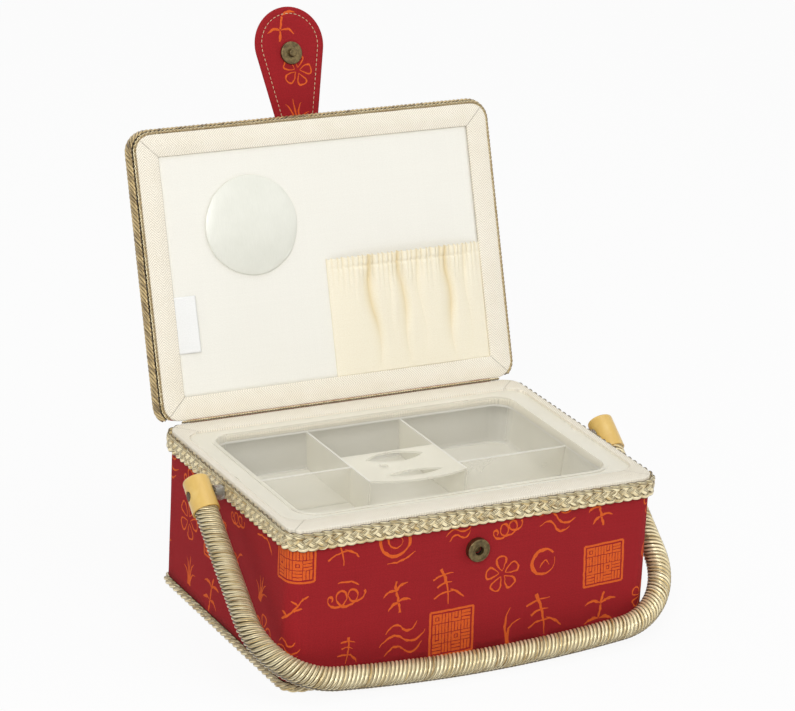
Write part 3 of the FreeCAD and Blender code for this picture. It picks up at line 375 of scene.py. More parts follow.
def coil(turns, outer, inner, press):
    """One line wound from its outer end inwards, thinner as it goes."""
    path = []
    steps = int(26 * turns)
    for step in range(steps + 1):
        t = step / steps
        angle = 2 * math.pi * turns * t + 0.7
        reach = outer + (inner - outer) * t
        width = press * (0.35 + 1.2 * math.sin(math.pi * min(1.0, 0.15 + t)))
        path.append((Vector((reach * math.cos(angle), reach * math.sin(angle))), width))
    return path


def open_ring():
    return [coil(0.93, 9.5, 8.4, 1.3), stroke(((-3, -4), (1, 5), (4, -3)), (0.4, 1.7, 0.3))]


def swirl():
    return [coil(2.1, 9.5, 1.6, 0.9), stroke(((8.5, -7), (3, -11), (-5, -10)), (0.3, 1.5, 0.4))]


def blossom():
    petals = []
    for turn in range(5):
        angle = math.radians(72 * turn + 12)
        away = Vector((math.cos(angle), math.sin(angle)))
        side = Vector((-away.y, away.x))
        tip = away * 8.6
        petals.append(stroke((away * 1.6, tip + side * 5.2, tip), (0.4, 1.2, 0.7)))
        petals.append(stroke((tip, tip - side * 5.2, away * 1.6), (0.7, 1.3, 0.3)))
    return petals


def twig():
    lines = [stroke(((-9, -8), (-1, -3), (6, 9.5)), (1.5, 1.1, 0.4))]
    for x, y, way in ((-4, -5, -1), (0.5, -1, 1), (3, 3.5, -1), (5, 7, 1)):
        lines.append(stroke(((x, y), (x + way * 2.2, y + 3.4), (x + way * 5.2, y + 2.8)), (0.4, 2.0, 0.3)))
    return lines


def loops():
    """A running line of loops, as one draws to try a brush."""
    path = []
    for step in range(61):
        t = step / 60
        angle = 2 * math.pi * 3.2 * t
        reach = 2.3 + 2.6 * math.sin(math.pi * t)
        place = Vector((-10 + 20 * t + reach * math.cos(angle), reach * math.sin(angle) - 3 + 5 * t))
        path.append((place, 0.5 + 0.7 * abs(math.sin(angle))))
    return [path, stroke(((-6, 8), (1, 10.5), (7, 7.5)), (0.3, 1.6, 0.4))]


def grasses():
    """Short quick strokes crossing a long one."""
    lines = [stroke(((-1.5, 10), (1.5, 1), (-0.5, -11)), (1.5, 1.0, 0.4))]
    for x, y, reach in ((-7, 5.5, 12), (-5.5, 0.5, 9), (-8, -5, 13)):
        lines.append(stroke(((x, y), (x + reach / 2, y + 2.2), (x + reach, y + 0.4)), (0.9, 1.2, 0.3)))
    return lines + [stroke(((2, -3), (7, -6), (8.5, -10)), (0.4, 1.9, 0.3))]


def straight(start, end, breadth, steps=4):
    return [(Vector(start).lerp(Vector(end), step / steps), breadth) for step in range(steps + 1)]


def stamp(rows=4, cell=5.2, bar=1.3):
    """Stamped block in a border: squares of bars one way and the other, rings with a dot, and hooks."""
    half = rows * cell / 2
    low, middle, high = bar * 0.65, cell / 2, cell - bar * 0.65
    across = [((0.2, y), (cell - 0.2, y)) for y in (low, middle, high)]
    upright = [((x, 0.2), (x, cell - 0.2)) for x in (low, middle, high)]
    ring = [across[0], across[2], *(((x, bar), (x, cell - bar)) for x in (low, high)), ((2, middle), (3.2, middle))]
    hook = [across[0], ((low, bar), (low, cell - 0.2)), ((middle, middle - 0.5), (middle, cell - 0.2)), upright[2]]
    lines = []
    for row in range(rows):
        for column in range(rows):
            foot = Vector((column * cell - half, row * cell - half))
            for start, end in (across, ring, upright, hook)[(row * 3 + column * 2 + row * column) % 4]:
                lines.append(straight(foot + Vector(start), foot + Vector(end), bar))
    reach = half + 1.2
    corners = [(-reach, -reach), (reach, -reach), (reach, reach), (-reach, reach)]
    return lines + [straight(start, end, 1.1, 12) for start, end in zip(corners, corners[1:] + corners[:1])]


MOTIFS = (bamboo, loops, reeds, grasses, swirl, ripples, twig, open_ring, blossom)


def print_motifs(width, height, seed, corner, clear_of_edge, thinner=1.0):
    """Strokes of the print over a flat pattern, one motif to a cell, each drawn by an unsteady brush.
    The pattern's corner is moved to its own place, and strokes that come near its edge are left out."""
    chance = random.Random(seed)

    def within(most):
        return chance.uniform(-most, most)
    columns = max(1, round(width / MOTIF_CELL[0]))
    rows = max(1, round(height / MOTIF_CELL[1]))
    cell = Vector((width / columns, height / rows))
    strokes = []
    chosen = {}
    for column in range(columns):
        for row in range(rows):
            near = {chosen.get((column - 1, row + step)) for step in (-1, 0, 1)} | {chosen.get((column, row - 1))}
            stamped = (2 * column + 3 * row) % 9 == 4
            motif = stamp if stamped else chance.choice([one for one in MOTIFS if one not in near])
            chosen[column, row] = motif
            slip = Vector((within(MOTIF_SLIP[0]), within(MOTIF_SLIP[1])))
            centre = Vector(((column + 0.5) * cell.x, (row + 0.5) * cell.y)) + slip
            size = chance.uniform(*(STAMP_SIZES if stamped else MOTIF_SIZES))
            turn = Matrix.Rotation(math.radians(within(MOTIF_TURN) * (0.2 if stamped else 1)), 2)
            unsteady = BRUSH_WOBBLE * (0.5 if stamped else 1.0)
            for path in motif():
                drawn = []
                for point, breadth in path:
                    spot = centre + turn @ (point * size)
                    shake = noise.noise_vector(Vector((spot.x, spot.y, seed)) * 0.42)
                    press = noise.noise(Vector((spot.x, seed, spot.y)) * 0.6)
                    pressed = 1.15 + (0.2 if stamped else 0.7) * press
                    spot = spot + shake.to_2d() * unsteady - corner
                    drawn.append((spot, breadth * math.sqrt(size) * pressed * thinner))
                if all(clear_of_edge(spot) for quad in stroke_quads(drawn) for spot in quad):
                    strokes.append(drawn)
    return strokes


def turns_left(corners):
    """Whether a face's corners run anticlockwise, without crossing over."""
    legs = [there - here for here, there in zip(corners, corners[1:] + corners[:1])]
    return all(leg.cross(following) > 1e-6 for leg, following in zip(legs, legs[1:] + legs[:1]))


def stroke_quads(path):
    """Corners of a stroke's pieces, each piece a four-cornered face turning to the left."""
    sides = []
    for index, (point, width) in enumerate(path):
        before = path[max(index - 1, 0)][0]
        after = path[min(index + 1, len(path) - 1)][0]
        along = (after - before).normalized()
        across = Vector((-along.y, along.x)) * max(width, 0.3) / 2
        sides.append((point - across, point + across))
    quads = [[right, next_right, next_left, left] for (right, left), (next_right, next_left) in zip(sides, sides[1:])]
    return [quad for quad in quads if turns_left(quad)]


def mend(pieces, sewn_within=0.0, outwards=True):
    """Makes one piece of several, sewn together where their points meet, with no loose points."""
    whole = bmesh.new()
    for piece in pieces:
        whole.from_mesh(piece.data)
    bmesh.ops.delete(whole, geom=[vert for vert in whole.verts if not vert.link_faces], context="VERTS")
    if sewn_within:
        bmesh.ops.remove_doubles(whole, verts=whole.verts, dist=sewn_within)
    if outwards:
        bmesh.ops.recalc_face_normals(whole, faces=whole.faces)
    whole.to_mesh(pieces[0].data)
    whole.free()
    for piece in pieces[1:]:
        bpy.data.objects.remove(piece)
    return pieces[0]


def printed_cloth(name, outline, columns, rows, strokes, inside, to_space, folds=()):
    """Cloth cut flat along its grid and round every stroke, then laid in its place. Its flat pattern
    is kept as a UV map in metres."""
    points, edges, faces = [], [], []

    def add_points(new):
        first = len(points)
        points.extend(Vector(point) for point in new)
        return list(range(first, len(points)))
    for line in (outline, *folds):
        ring = add_points(line)
        edges.extend(zip(ring, ring[1:] + ring[:1]))
    xs, ys = zip(*outline)
    for x in columns:
        edges.append(tuple(add_points([(x, min(ys)), (x, max(ys))])))
    for y in rows:
        edges.append(tuple(add_points([(min(xs), y), (max(xs), y)])))
    for path in strokes:
        faces += [add_points(quad) for quad in stroke_quads(path)]
    places, _, cut, _, _, origin = delaunay_2d_cdt(points, edges, faces, 0, 1e-5)
    kept, inked = [], []
    for triangle, source in zip(cut, origin):
        if inside(sum((places[index] for index in triangle), Vector((0, 0))) / len(triangle)):
            kept.append(triangle)
            inked.append(bool(source))
    piece = new_piece(name, [to_space(place) for place in places], kept, PRINTED_RED, PRINT_INK)
    mesh = piece.data
    keep_pattern(mesh, [place * MM for place in places])
    for face, ink in zip(mesh.polygons, inked):
        face.material_index = int(ink)
    return mend([piece], 1e-6, False)


def keep_pattern(mesh, flat):
    """Keeps where each point was on the flat cloth, as a UV map."""
    uv = mesh.uv_layers.new(name=PATTERN)
    for loop in mesh.loops:
        uv.data[loop.index].uv = flat[loop.vertex_index]


def straight_legs(half_x, half_y, radius):
    """Straight lengths round a rounded rectangle, from the middle of its back and leftwards."""
    side, end = 2 * (half_y - radius), half_x - radius
    return [end, side, 2 * end, side, end]


def outline_walk(half_x, half_y, radius, distance):
    """Point and outward direction at a distance round a rounded rectangle."""
    bend = radius * math.pi / 2
    legs = straight_legs(half_x, half_y, radius)
    point = Vector((0, half_y))
    heading = Vector((-1, 0))
    for index, leg in enumerate(legs):
        outward = Vector((heading.y, -heading.x))
        if distance <= leg or index == len(legs) - 1:
            return point + heading * distance, outward
        point = point + heading * leg
        distance -= leg
        centre = point - outward * radius
        if distance <= bend:
            turned = Matrix.Rotation(distance / radius, 2) @ outward
            return centre + turned * radius, turned
        distance -= bend
        heading = Vector((-heading.y, heading.x))
        point = centre + Vector((heading.y, -heading.x)) * radius


def outline_length(half_x, half_y, radius):
    return 4 * (half_x + half_y - 2 * radius) + 2 * math.pi * radius


def grid_lines(half_x, half_y, radius):
    """Distances round the outline where the cloth is cut: close together at the corners."""
    legs = straight_legs(half_x, half_y, radius)
    bend = radius * math.pi / 2
    runs = [(leg, CLOTH_CELL) for leg in legs]
    for corner in (4, 3, 2, 1):
        runs.insert(corner, (bend, BEND_CELL))
    lines, start = [], 0.0
    for length, cell in runs:
        count = max(1, round(length / cell))
        lines += [start + length * step / count for step in range(count)]
        start += length
    return lines


def solidify(piece, thickness, offset=-1.0):
    """Gives cloth its thickness, inwards from its face or to both sides of it."""
    layer = piece.modifiers.new("thickness", "SOLIDIFY")
    layer.thickness = thickness
    layer.offset = offset


def wall_cloth():
    low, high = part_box("cover_cloth")
    line = (high.x / MM, high.y / MM, BOX_CORNER_R / MM)
    width = outline_length(*line)
    height = (high.z - low.z) / MM

    def within(margin):
        return lambda spot: margin < spot.x < width - margin and margin < spot.y < height - margin

    def to_space(place):
        point, outward = outline_walk(*line, min(max(place.x, 0), width))
        spot = Vector((point.x * MM, point.y * MM, low.z + place.y * MM))
        free = min(1.0, place.y / 10, (height - place.y) / 10)
        sink = CLOTH_WAVE * free * (noise.noise(spot * 26) - 0.6)
        return spot + Vector((outward.x, outward.y, 0)) * sink
    rows = round(height / CLOTH_CELL)
    levels = [height * step / rows for step in range(1, rows)]
    outline = [(0, 0), (width, 0), (width, height), (0, height)]
    strokes = print_motifs(width, height, 4, Vector((0, 0)), within(SEAM_MARGIN))
    piece = printed_cloth("wall_cloth", outline, grid_lines(*line)[1:], levels, strokes, within(-1e-3), to_space)
    solidify(piece, CLOTH_THICK)
    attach(piece, "body")
    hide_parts("cover_cloth")


wall_cloth()


# The braid under the rim: five flat strands of shiny gold rayon plaited together and glued round
# the walls just under the tape. The cord at the foot and the handle's winding are laid the same way.

# The palest gold goes on as painted glints in flecks along the fibres; the groove colour is painted shade between the
# strands.
GOLD_GLINT = "#FFF1C6"
GOLD = "#DCC285"
GOLD_DARK = "#8A6834"
GOLD_GROOVE_SHADE = "#332211"
BRAID_STRANDS = 5
BRAID_LAY = 30 * MM
BRAID_CROSSINGS = 4
BRAID_PHASE = math.radians(20)
BRAID_STRAND = (1.7 * MM, 4.3 * MM)     # a strand's thickness and width
BRAID_STEP = 1.2 * MM
FIBRES_ACROSS = 9.0                     # yarns that show across a strand
FIBRES_ALONG = 260.0                    # and along a metre of it
QUARTER = math.pi / 2


def gold_yarn(name, light, middle, dark, groove_shade):
    """Shiny twisted yarn: fine slanted fibres along each strand with painted glints in pale flecks, and painted shade
    darkening the grooves between strands.
    """
    material, shader, _ = new_material(name, Roughness=0.3, Metallic=0.3, Specular_IOR_Level=0.8)
    tree = shader.id_data
    around, along, strand = (out(tree, "ShaderNodeAttribute", output="Fac", attribute_name=title)
                             for title in ("around", "along", "strand"))
    slant = around * FIBRES_ACROSS + along * FIBRES_ALONG + strand * 0.37
    ridge = (slant * math.pi).maths("SINE").size()
    inputs = {"X": slant.maths("FLOOR"), "Y": strand, "Z": along * 45.0}
    cell = out(tree, "ShaderNodeCombineXYZ", inputs)
    base = mix_colors(spread(grainy(cell, 1.7, 2.0), 0.3, 0.58), dark, middle)
    # Painted glints: pale flecks along the fibres.
    base = mix_colors(spread(grainy(cell, 2.6, 1.0), 0.36, 0.56), base, light)
    # Painted shade: each strand darkens on its flanks, in the grooves between strands.
    crest = (around * (2 * math.pi)).maths("COSINE").size()
    base = mix_colors(spread(crest, 0.15, 0.75), groove_shade, base)
    base = mix_colors(1.0, base, spread(ridge, 0.0, 0.5, 0.78, 1.0), "MULTIPLY")
    finish_material(shader, base, ridge, 0.12 * MM)
    return material


GOLD_CORD = gold_yarn("gold rayon cord", GOLD_GLINT, GOLD, GOLD_DARK, GOLD_GROOVE_SHADE)


def give_solid(tree, geometry, material):
    """Ends a geometry tree with its shape made solid, smooth and of its material."""
    solid = out(tree, "GeometryNodeRealizeInstances", {0: geometry})
    smooth = out(tree, "GeometryNodeSetShadeSmooth", {0: solid})
    add_node(tree, "NodeGroupOutput", {0: out(tree, "GeometryNodeSetMaterial", {0: smooth, "Material": material})})
    return tree


def laid_strands_tree():
    """Geometry nodes that lay strands along a path: plaited flat, or twisted round each other.
    The path's points carry their distance along it, its outward side and its upward direction."""
    measures = ("Lay", "Crossings", "Phase", "Half height", "Half depth", "Thickness", "Width", "Unevenness")
    inputs = {"Path": "Geometry", "Strands": "Int", "Sides": "Int", "Material": "Material"}
    inputs.update(dict.fromkeys(measures, "Float"))
    tree, given = new_group("GeometryNodeTree", "laid strands", inputs, {"Laid": "Geometry"})

    def read(name, kind="FLOAT"):
        return out(tree, "GeometryNodeInputNamedAttribute", {"Name": name}, data_type=kind)

    def vectors(operation, *inputs):
        return out(tree, "ShaderNodeVectorMath", enumerate(inputs), operation=operation)

    def scaled(vector, share):
        return out(tree, "ShaderNodeVectorMath", {0: vector, 3: share}, operation="SCALE")

    def store(geometry, name, value, domain="POINT"):
        inputs = {"Geometry": geometry, "Name": name, "Value": value}
        return out(tree, "GeometryNodeStoreNamedAttribute", inputs, data_type="FLOAT", domain=domain)
    lines = out(tree, "GeometryNodeMeshToCurve", {"Mesh": given["Path"]})
    inputs = {0: lines, "Amount": given["Strands"]}
    copies = add_node(tree, "GeometryNodeDuplicateElements", inputs, domain="SPLINE").outputs
    lines = store(Flow(copies[0]), "strand", Flow(copies["Duplicate Index"]), "CURVE")
    strand, along = read("strand"), read("along")
    outward, upward = read("outward", "FLOAT_VECTOR"), read("upward", "FLOAT_VECTOR")
    angle = (along / given["Lay"] + strand / given["Strands"]) * (2 * math.pi)
    swing = angle.maths("SINE") * given["Half height"]
    dip = (angle * given["Crossings"] + given["Phase"]).maths("SINE") * given["Half depth"]
    shift = vectors("ADD", scaled(upward, swing), scaled(outward, dip))
    seed = out(tree, "ShaderNodeCombineXYZ", {0: along * 160.0, 1: strand})
    stray = out(tree, "ShaderNodeTexNoise", {"Vector": seed, "Scale": 1.0}, "Color")
    stray = vectors("SUBTRACT", stray, (0.5, 0.5, 0.5))
    shift = vectors("ADD", shift, scaled(stray, given["Unevenness"]))
    lines = out(tree, "GeometryNodeSetPosition", {"Geometry": lines, "Offset": shift})
    tangent = out(tree, "GeometryNodeInputTangent")
    facing = vectors("NORMALIZE", vectors("CROSS_PRODUCT", vectors("CROSS_PRODUCT", tangent, outward), tangent))
    lines = out(tree, "GeometryNodeSetCurveNormal", {"Curve": lines, "Normal": facing}, mode="FREE")
    ring = out(tree, "GeometryNodeCurvePrimitiveCircle", {"Resolution": given["Sides"], "Radius": 0.5})
    ring = store(ring, "around", out(tree, "GeometryNodeSplineParameter", output="Factor"))
    flat = out(tree, "ShaderNodeCombineXYZ", {0: given["Thickness"], 1: given["Width"], 2: 1.0})
    ring = out(tree, "GeometryNodeTransform", {"Geometry": ring, "Scale": flat})
    inputs = {"Curve": lines, "Profile Curve": ring, "Fill Caps": True}
    return give_solid(tree, out(tree, "GeometryNodeCurveToMesh", inputs), given["Material"])


LAID_STRANDS = laid_strands_tree()


def baked(piece):
    """Replaces a piece's mesh by the one its modifiers make, and removes them."""
    bpy.context.view_layer.update()
    seen = piece.evaluated_get(bpy.context.evaluated_depsgraph_get())
    mesh = bpy.data.meshes.new_from_object(seen)
    mesh.name = piece.name
    piece.modifiers.clear()
    piece.data = mesh
    return piece


def grown(piece, tree, values):
    """Runs a piece through a node tree, whose inputs are set by the identifier of each socket."""
    modifier = piece.modifiers.new(tree.name, "NODES")
    modifier.node_group = tree
    for item in tree.interface.items_tree:
        if item.name in values:
            modifier[item.identifier] = values[item.name]
    return baked(piece)


def note(mesh, title, values, kind="FLOAT_VECTOR"):
    """Keeps a value for each point of a mesh under a name."""
    data = mesh.attributes.new(title, kind, "POINT").data
    if kind == "FLOAT":
        data.foreach_set("value", values)
    else:
        data.foreach_set("vector", [part for value in values for part in value])


def line_edges(count, closed):
    return [(i, (i + 1) % count) for i in range(count if closed else count - 1)]


def lay_strands(name, stations, material, strands, lay, half, strand, crossings=1, phase=QUARTER, closed=True,
                sides=8, unevenness=0.25 * MM):
    """One mesh of strands laid along a path; round a closed one they meet their own ends. Each station
    is a point with its outward and upward directions. Half is the reach up and down, and in and out."""
    points, outward, upward = zip(*stations)
    piece = new_piece(name, points, [], edges=line_edges(len(points), closed))
    lengths = [0.0]
    for here, there in zip(points, points[1:]):
        lengths.append(lengths[-1] + (there - here).length)
    note(piece.data, "along", lengths, "FLOAT")
    note(piece.data, "outward", outward)
    note(piece.data, "upward", upward)
    if closed:
        whole = lengths[-1] + (points[0] - points[-1]).length
        lay = whole / max(1, round(whole / lay))
    values = {"Strands": strands, "Lay": lay, "Crossings": float(crossings), "Phase": phase, "Sides": sides}
    values.update({"Half height": half[0], "Half depth": half[1], "Thickness": strand[0], "Width": strand[1]})
    values.update({"Unevenness": unevenness, "Material": material})
    return mend([grown(piece, LAID_STRANDS, values)])


def round_the_box(half_x, half_y, radius, level, step, first=0.0, last=None, centre_y=0.0):
    """Stations round a rounded rectangle, all in metres, at one level."""
    length = outline_length(half_x, half_y, radius)
    last = length if last is None else last
    closed = last - first > length - 1e-9
    count = round((last - first) / step)
    stations = []
    for index in range(count if closed else count + 1):
        point, outward = outline_walk(half_x, half_y, radius, first + (last - first) * index / count)
        place = Vector((point.x, point.y + centre_y, level))
        stations.append((place, Vector((outward.x, outward.y, 0)), Vector((0, 0, 1))))
    return stations


def rim_braid():
    low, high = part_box("rim_braid")
    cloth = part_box("cover_cloth")[1]
    thick = high.x - cloth.x
    half = ((high.z - low.z - BRAID_STRAND[1]) / 2, (thick - BRAID_STRAND[0]) / 2)
    line = (cloth.x + thick / 2, cloth.y + thick / 2, BOX_CORNER_R + thick / 2)
    stations = round_the_box(*line, (low.z + high.z) / 2, BRAID_STEP)
    piece = lay_strands("rim_braid_plait", stations, GOLD_CORD, BRAID_STRANDS, BRAID_LAY, half, BRAID_STRAND,
                        BRAID_CROSSINGS, BRAID_PHASE)
    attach(piece, "body")
    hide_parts("rim_braid")


rim_braid()


# The cord at the foot: three round strands twisted together, sewn along the edge of the bottom
# cloth all the way round.

FOOT_STRANDS = 3
FOOT_LAY = 17 * MM
FOOT_STRAND_D = 2.9 * MM


def foot_cord():
    low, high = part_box("base_cord")
    diameter = high.z - low.z
    half = (diameter - FOOT_STRAND_D) / 2
    line = (high.x - diameter / 2, high.y - diameter / 2, BOX_CORNER_R)
    stations = round_the_box(*line, (low.z + high.z) / 2, BRAID_STEP)
    piece = lay_strands("foot_cord", stations, GOLD_CORD, FOOT_STRANDS, FOOT_LAY, (half,) * 2, (FOOT_STRAND_D,) * 2)
    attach(piece, "body")
    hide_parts("base_cord")


foot_cord()


# The handle: a bent steel core wound side by side with five cords of the same gold rayon. Its ends
# sit in turned and lacquered wooden ferrules, which swing on bolts through the short sides.

HANDLE_CORDS = 5
HANDLE_LAY = 13 * MM
HANDLE_CORD_D = 2.5 * MM
HANDLE_STEP = 0.6 * MM
HANDLE_CORNER_R = 46 * MM
HANDLE_BOW_R = 950 * MM
HANDLE_TOP_DROP = 4.7 * MM              # pivot down to the end of the winding in its ferrule
WRAP_R = 7.1 * MM
ARM_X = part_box("handle_wrap")[1].x - WRAP_R
WOOD = ("#DEB962", "#D3AC59", "#E3C276")


def handle_stations():
    """Stations along the middle of the winding, from one ferrule round the bar to the other."""
    low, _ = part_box("handle_wrap")
    pivot = cad_pivots["handle_swing"]
    down = Vector((0, low.y + WRAP_R, low.z + WRAP_R)) - pivot
    bow_centre = down.length - HANDLE_BOW_R
    down = down.normalized()
    corner_x = ARM_X - HANDLE_CORNER_R
    gap = HANDLE_BOW_R - HANDLE_CORNER_R
    corner_drop = bow_centre + math.sqrt(gap ** 2 - corner_x ** 2)
    join = math.acos(corner_x / gap)
    half_turn = QUARTER - join
    arm = corner_drop - HANDLE_TOP_DROP

    def shares(length):
        count = round(length / HANDLE_STEP)
        return [(i, count) for i in range(count)]
    flat = [(ARM_X, HANDLE_TOP_DROP + arm * i / count) for i, count in shares(arm)]
    for i, count in shares(HANDLE_CORNER_R * join):
        turn = join * i / count
        flat.append((corner_x + HANDLE_CORNER_R * math.cos(turn), corner_drop + HANDLE_CORNER_R * math.sin(turn)))
    for i, count in shares(HANDLE_BOW_R * half_turn):
        turn = half_turn * (1 - i / count)
        flat.append((HANDLE_BOW_R * math.sin(turn), bow_centre + HANDLE_BOW_R * math.cos(turn)))
    flat += [(0.0, bow_centre + HANDLE_BOW_R)] + [(-x, far) for x, far in reversed(flat)]
    across = Vector((1, 0, 0))
    front = down.cross(across)
    points = [pivot + across * x + down * far for x, far in flat]
    stations = []
    for index, point in enumerate(points):
        tangent = (points[min(index + 1, len(points) - 1)] - points[max(index - 1, 0)]).normalized()
        stations.append((point, front, tangent.cross(front)))
    return stations


def wound_handle():
    half = WRAP_R - HANDLE_CORD_D / 2
    piece = lay_strands("handle_winding", handle_stations(), GOLD_CORD, HANDLE_CORDS, HANDLE_LAY, (half, half),
                        (HANDLE_CORD_D,) * 2, phase=-QUARTER, closed=False, sides=10, unevenness=0.1 * MM)
    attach(piece, "handle")
    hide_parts("handle_wrap")


def dress(material, *nodes):
    """Gives solids that keep their own shape their finished surface."""
    for node in nodes:
        materials = cad_nodes[node].data.materials
        materials.clear()
        materials.append(material)


def lacquered_wood():
    material, shader, place = new_material("lacquered wood", Roughness=0.38, Coat_Weight=0.35, Coat_Roughness=0.2)
    grain = spread(grainy(stretched(place, (1.0, 0.35, 0.28)), 420.0, 3.0), 0.2, 0.9)
    light = spread(grainy(place, 130.0), 0.5, 0.8)
    finish_material(shader, mix_colors(light, mix_colors(grain, WOOD[0], WOOD[1]), WOOD[2]), grain, 0.02 * MM)
    return material


def metal(name, main, dark, roughness, worn_scale=420.0):
    material, shader, place = new_material(name, Metallic=0.9)
    blotch = spread(grainy(place, worn_scale, 4.0), 0.35, 0.7)
    finish_material(shader, mix_colors(blotch, main, dark), grainy(place, worn_scale * 4), 0.02 * MM,
                    Roughness=spread(blotch, 0, 1, roughness, roughness + 0.18))
    return material


def clear_plastic():
    material, shader, place = new_material("clear plastic", Roughness=0.25, IOR=1.45, Transmission_Weight=0.7)
    finish_material(shader, mix_colors(grainy(place, 500.0), "#DAD6CB", "#A39C90"))
    return material


wound_handle()
steel = metal("steel", "#9A9894", "#5F5D5A", 0.32)
dress(steel, "bolt_washer_left", "bolt_washer_right", "bolt_nut_left", "bolt_nut_right")
dress(metal("browned steel bolt", "#6B5A40", "#3A3026", 0.4), "handle_bolt_left", "handle_bolt_right")
dress(metal("core of the handle", "#5F5D5A", "#3F3D3A", 0.5), "handle_core")
dress(lacquered_wood(), "ferrule_left", "ferrule_right")
dress(clear_plastic(), "handle_spacer_left", "handle_spacer_right")


# The tape on the rim: cream herringbone cotton tape, turned over the top of the board walls and
# down over the ledge that the tray hangs on. It is glued, and mitred at the corners.

CREAM = "#FAF3E3"
CREAM_SHADE = "#EADFC6"
CREAM_FLECK = "#B9A684"
RIM_PAINTED_SHADE = 0.96                 # painted shade over the tape on the rim, and painted light over it in the lid
LID_PAINTED_LIGHT = 1.02
TAPE_COLUMN = 4.2 * MM
TAPE_RIB = 1.6 * MM
TAPE_THICK = 0.7 * MM
TAPE_SOFT = 0.5 * MM            # how far its bends round off
TAPE_DEPTH = 6 * MM             # how far it goes down behind the braid
RECESS_GAP = 0.3 * MM           # room round the tray's flange
RECESS_CORNER_R = 12 * MM
LEDGE_DROP = 2.8 * MM
ROOM_HALF = (100.8 * MM, 64.8 * MM)     # inside of the ledge, where the tray's well goes down


def herringbone_group():
    """Ribs slanting one way in one column and the other way in the next."""
    inputs = dict.fromkeys(("Along", "Across", "Column", "Rib"), "Float")
    group, given = new_group("ShaderNodeTree", "herringbone", inputs, {"Height": "Float"})
    zigzag = (given["Across"] / given["Column"]).maths("PINGPONG", 1.0)
    count = (given["Along"] + zigzag * given["Column"]) / given["Rib"]
    add_node(group, "NodeGroupOutput", {"Height": (count * math.pi).maths("SINE").size()})
    return group


HERRINGBONE = herringbone_group()


def tape_material(name, half_x, half_y, painted_level, centre_y=0.0):
    """Cream tape laid as a frame: its length runs along each side, with a fold at each mitre. Its whole colour is
    scaled by a painted light level, and it is darkened along each mitre's fold as painted shade.
    """
    material, shader, _ = new_material(name, Roughness=0.9, Specular_IOR_Level=0.2)
    tree = shader.id_data
    place = out(tree, "ShaderNodeAttribute", output="Vector", attribute_name="laid place")
    parts = add_node(tree, "ShaderNodeSeparateXYZ", {0: place}).outputs
    x, y = Flow(parts["X"]), Flow(parts["Y"]) - centre_y
    from_side, from_end = half_x - x.size(), half_y - y.size()
    on_end = from_end.maths("LESS_THAN", from_side)
    inputs = {"Along": mix(on_end, y, x), "Across": mix(on_end, from_side, from_end)}
    inputs.update({"Column": TAPE_COLUMN, "Rib": TAPE_RIB})
    ribs = out(tree, "ShaderNodeGroup", inputs, "Height", node_tree=HERRINGBONE)
    # Painted shade: the tape is darkened along the fold at each mitre.
    fold = spread((from_side - from_end).size(), 0.0, 0.6 * MM)
    flecks = spread(grainy(place, 1300.0, 1.0), 0.66, 0.78)
    soft = spread(grainy(place, 60.0), 0.3, 0.75)
    base = mix_colors(soft * 0.3, CREAM, CREAM_SHADE)
    base = mix_colors(flecks * 0.6, base, CREAM_FLECK)
    # The ribs' darker lines are the twill's pattern; the level scales all the tape's colour, as painted light in the
    # lid and painted shade on the rim.
    shade = spread(ribs, 0, 1, 0.73, 1.03) * spread(fold, 0, 1, 0.84 * painted_level, painted_level)
    finish_material(shader, mix_colors(1.0, base, shade, "MULTIPLY"), ribs + fold * 2.0, 0.16 * MM)
    return material


def ring_points(half_x, half_y, radius, centre_y=0.0, per_leg=(34, 46), per_bend=8):
    """Rounded rectangle with a fixed number of points to each side and corner."""
    x, y = half_x - radius, half_y - radius
    corners = ((x, y), (-x, y), (-x, -y), (x, -y))

    def at(corner, angle):
        return Vector((corner[0] + radius * math.cos(angle), corner[1] + radius * math.sin(angle)))
    points = []
    for index, corner in enumerate(corners):
        turn = index * QUARTER
        points += [at(corner, turn + QUARTER * step / per_bend) for step in range(per_bend + 1)]
        start, stop = points[-1], at(corners[(index + 1) % 4], turn + QUARTER)
        count = per_leg[0] if index % 2 else per_leg[1]
        points += [start.lerp(stop, step / count) for step in range(1, count)]
    return [Vector((point.x, point.y + centre_y)) for point in points]


def loft(name, rings, material, to_space=Matrix.Identity(4), uneven=0.0, thickness=TAPE_THICK):
    """Cloth turned over a run of rings, each (half x, half y, radius, level, centre y)."""
    laid = []
    for half_x, half_y, radius, level, centre_y in rings:
        laid += [Vector((*point, level)) for point in ring_points(half_x, half_y, radius, centre_y)]
    count = len(laid) // len(rings)

    def bent(spot):
        at = spot * 70
        bend = Vector((noise.noise(at), noise.noise(at + Vector((9, 0, 0))), noise.noise(spot * 55)))
        return to_space @ (spot + bend * uneven)
    faces = []
    for ring in range(len(rings) - 1):
        for step in range(count):
            here, there = ring * count + step, ring * count + (step + 1) % count
            faces.append((here, there, there + count, here + count))
    piece = new_piece(name, [bent(spot) for spot in laid], faces, material)
    note(piece.data, "laid place", laid)
    solidify(piece, thickness)
    return piece


def turned_in(line, radius, steps, centre_y=0.0):
    """Rings of a tape beside a line (half x, half y), each step (how far outside it, level)."""
    return [(line[0] + away, line[1] + away, radius, level, centre_y) for away, level in steps]


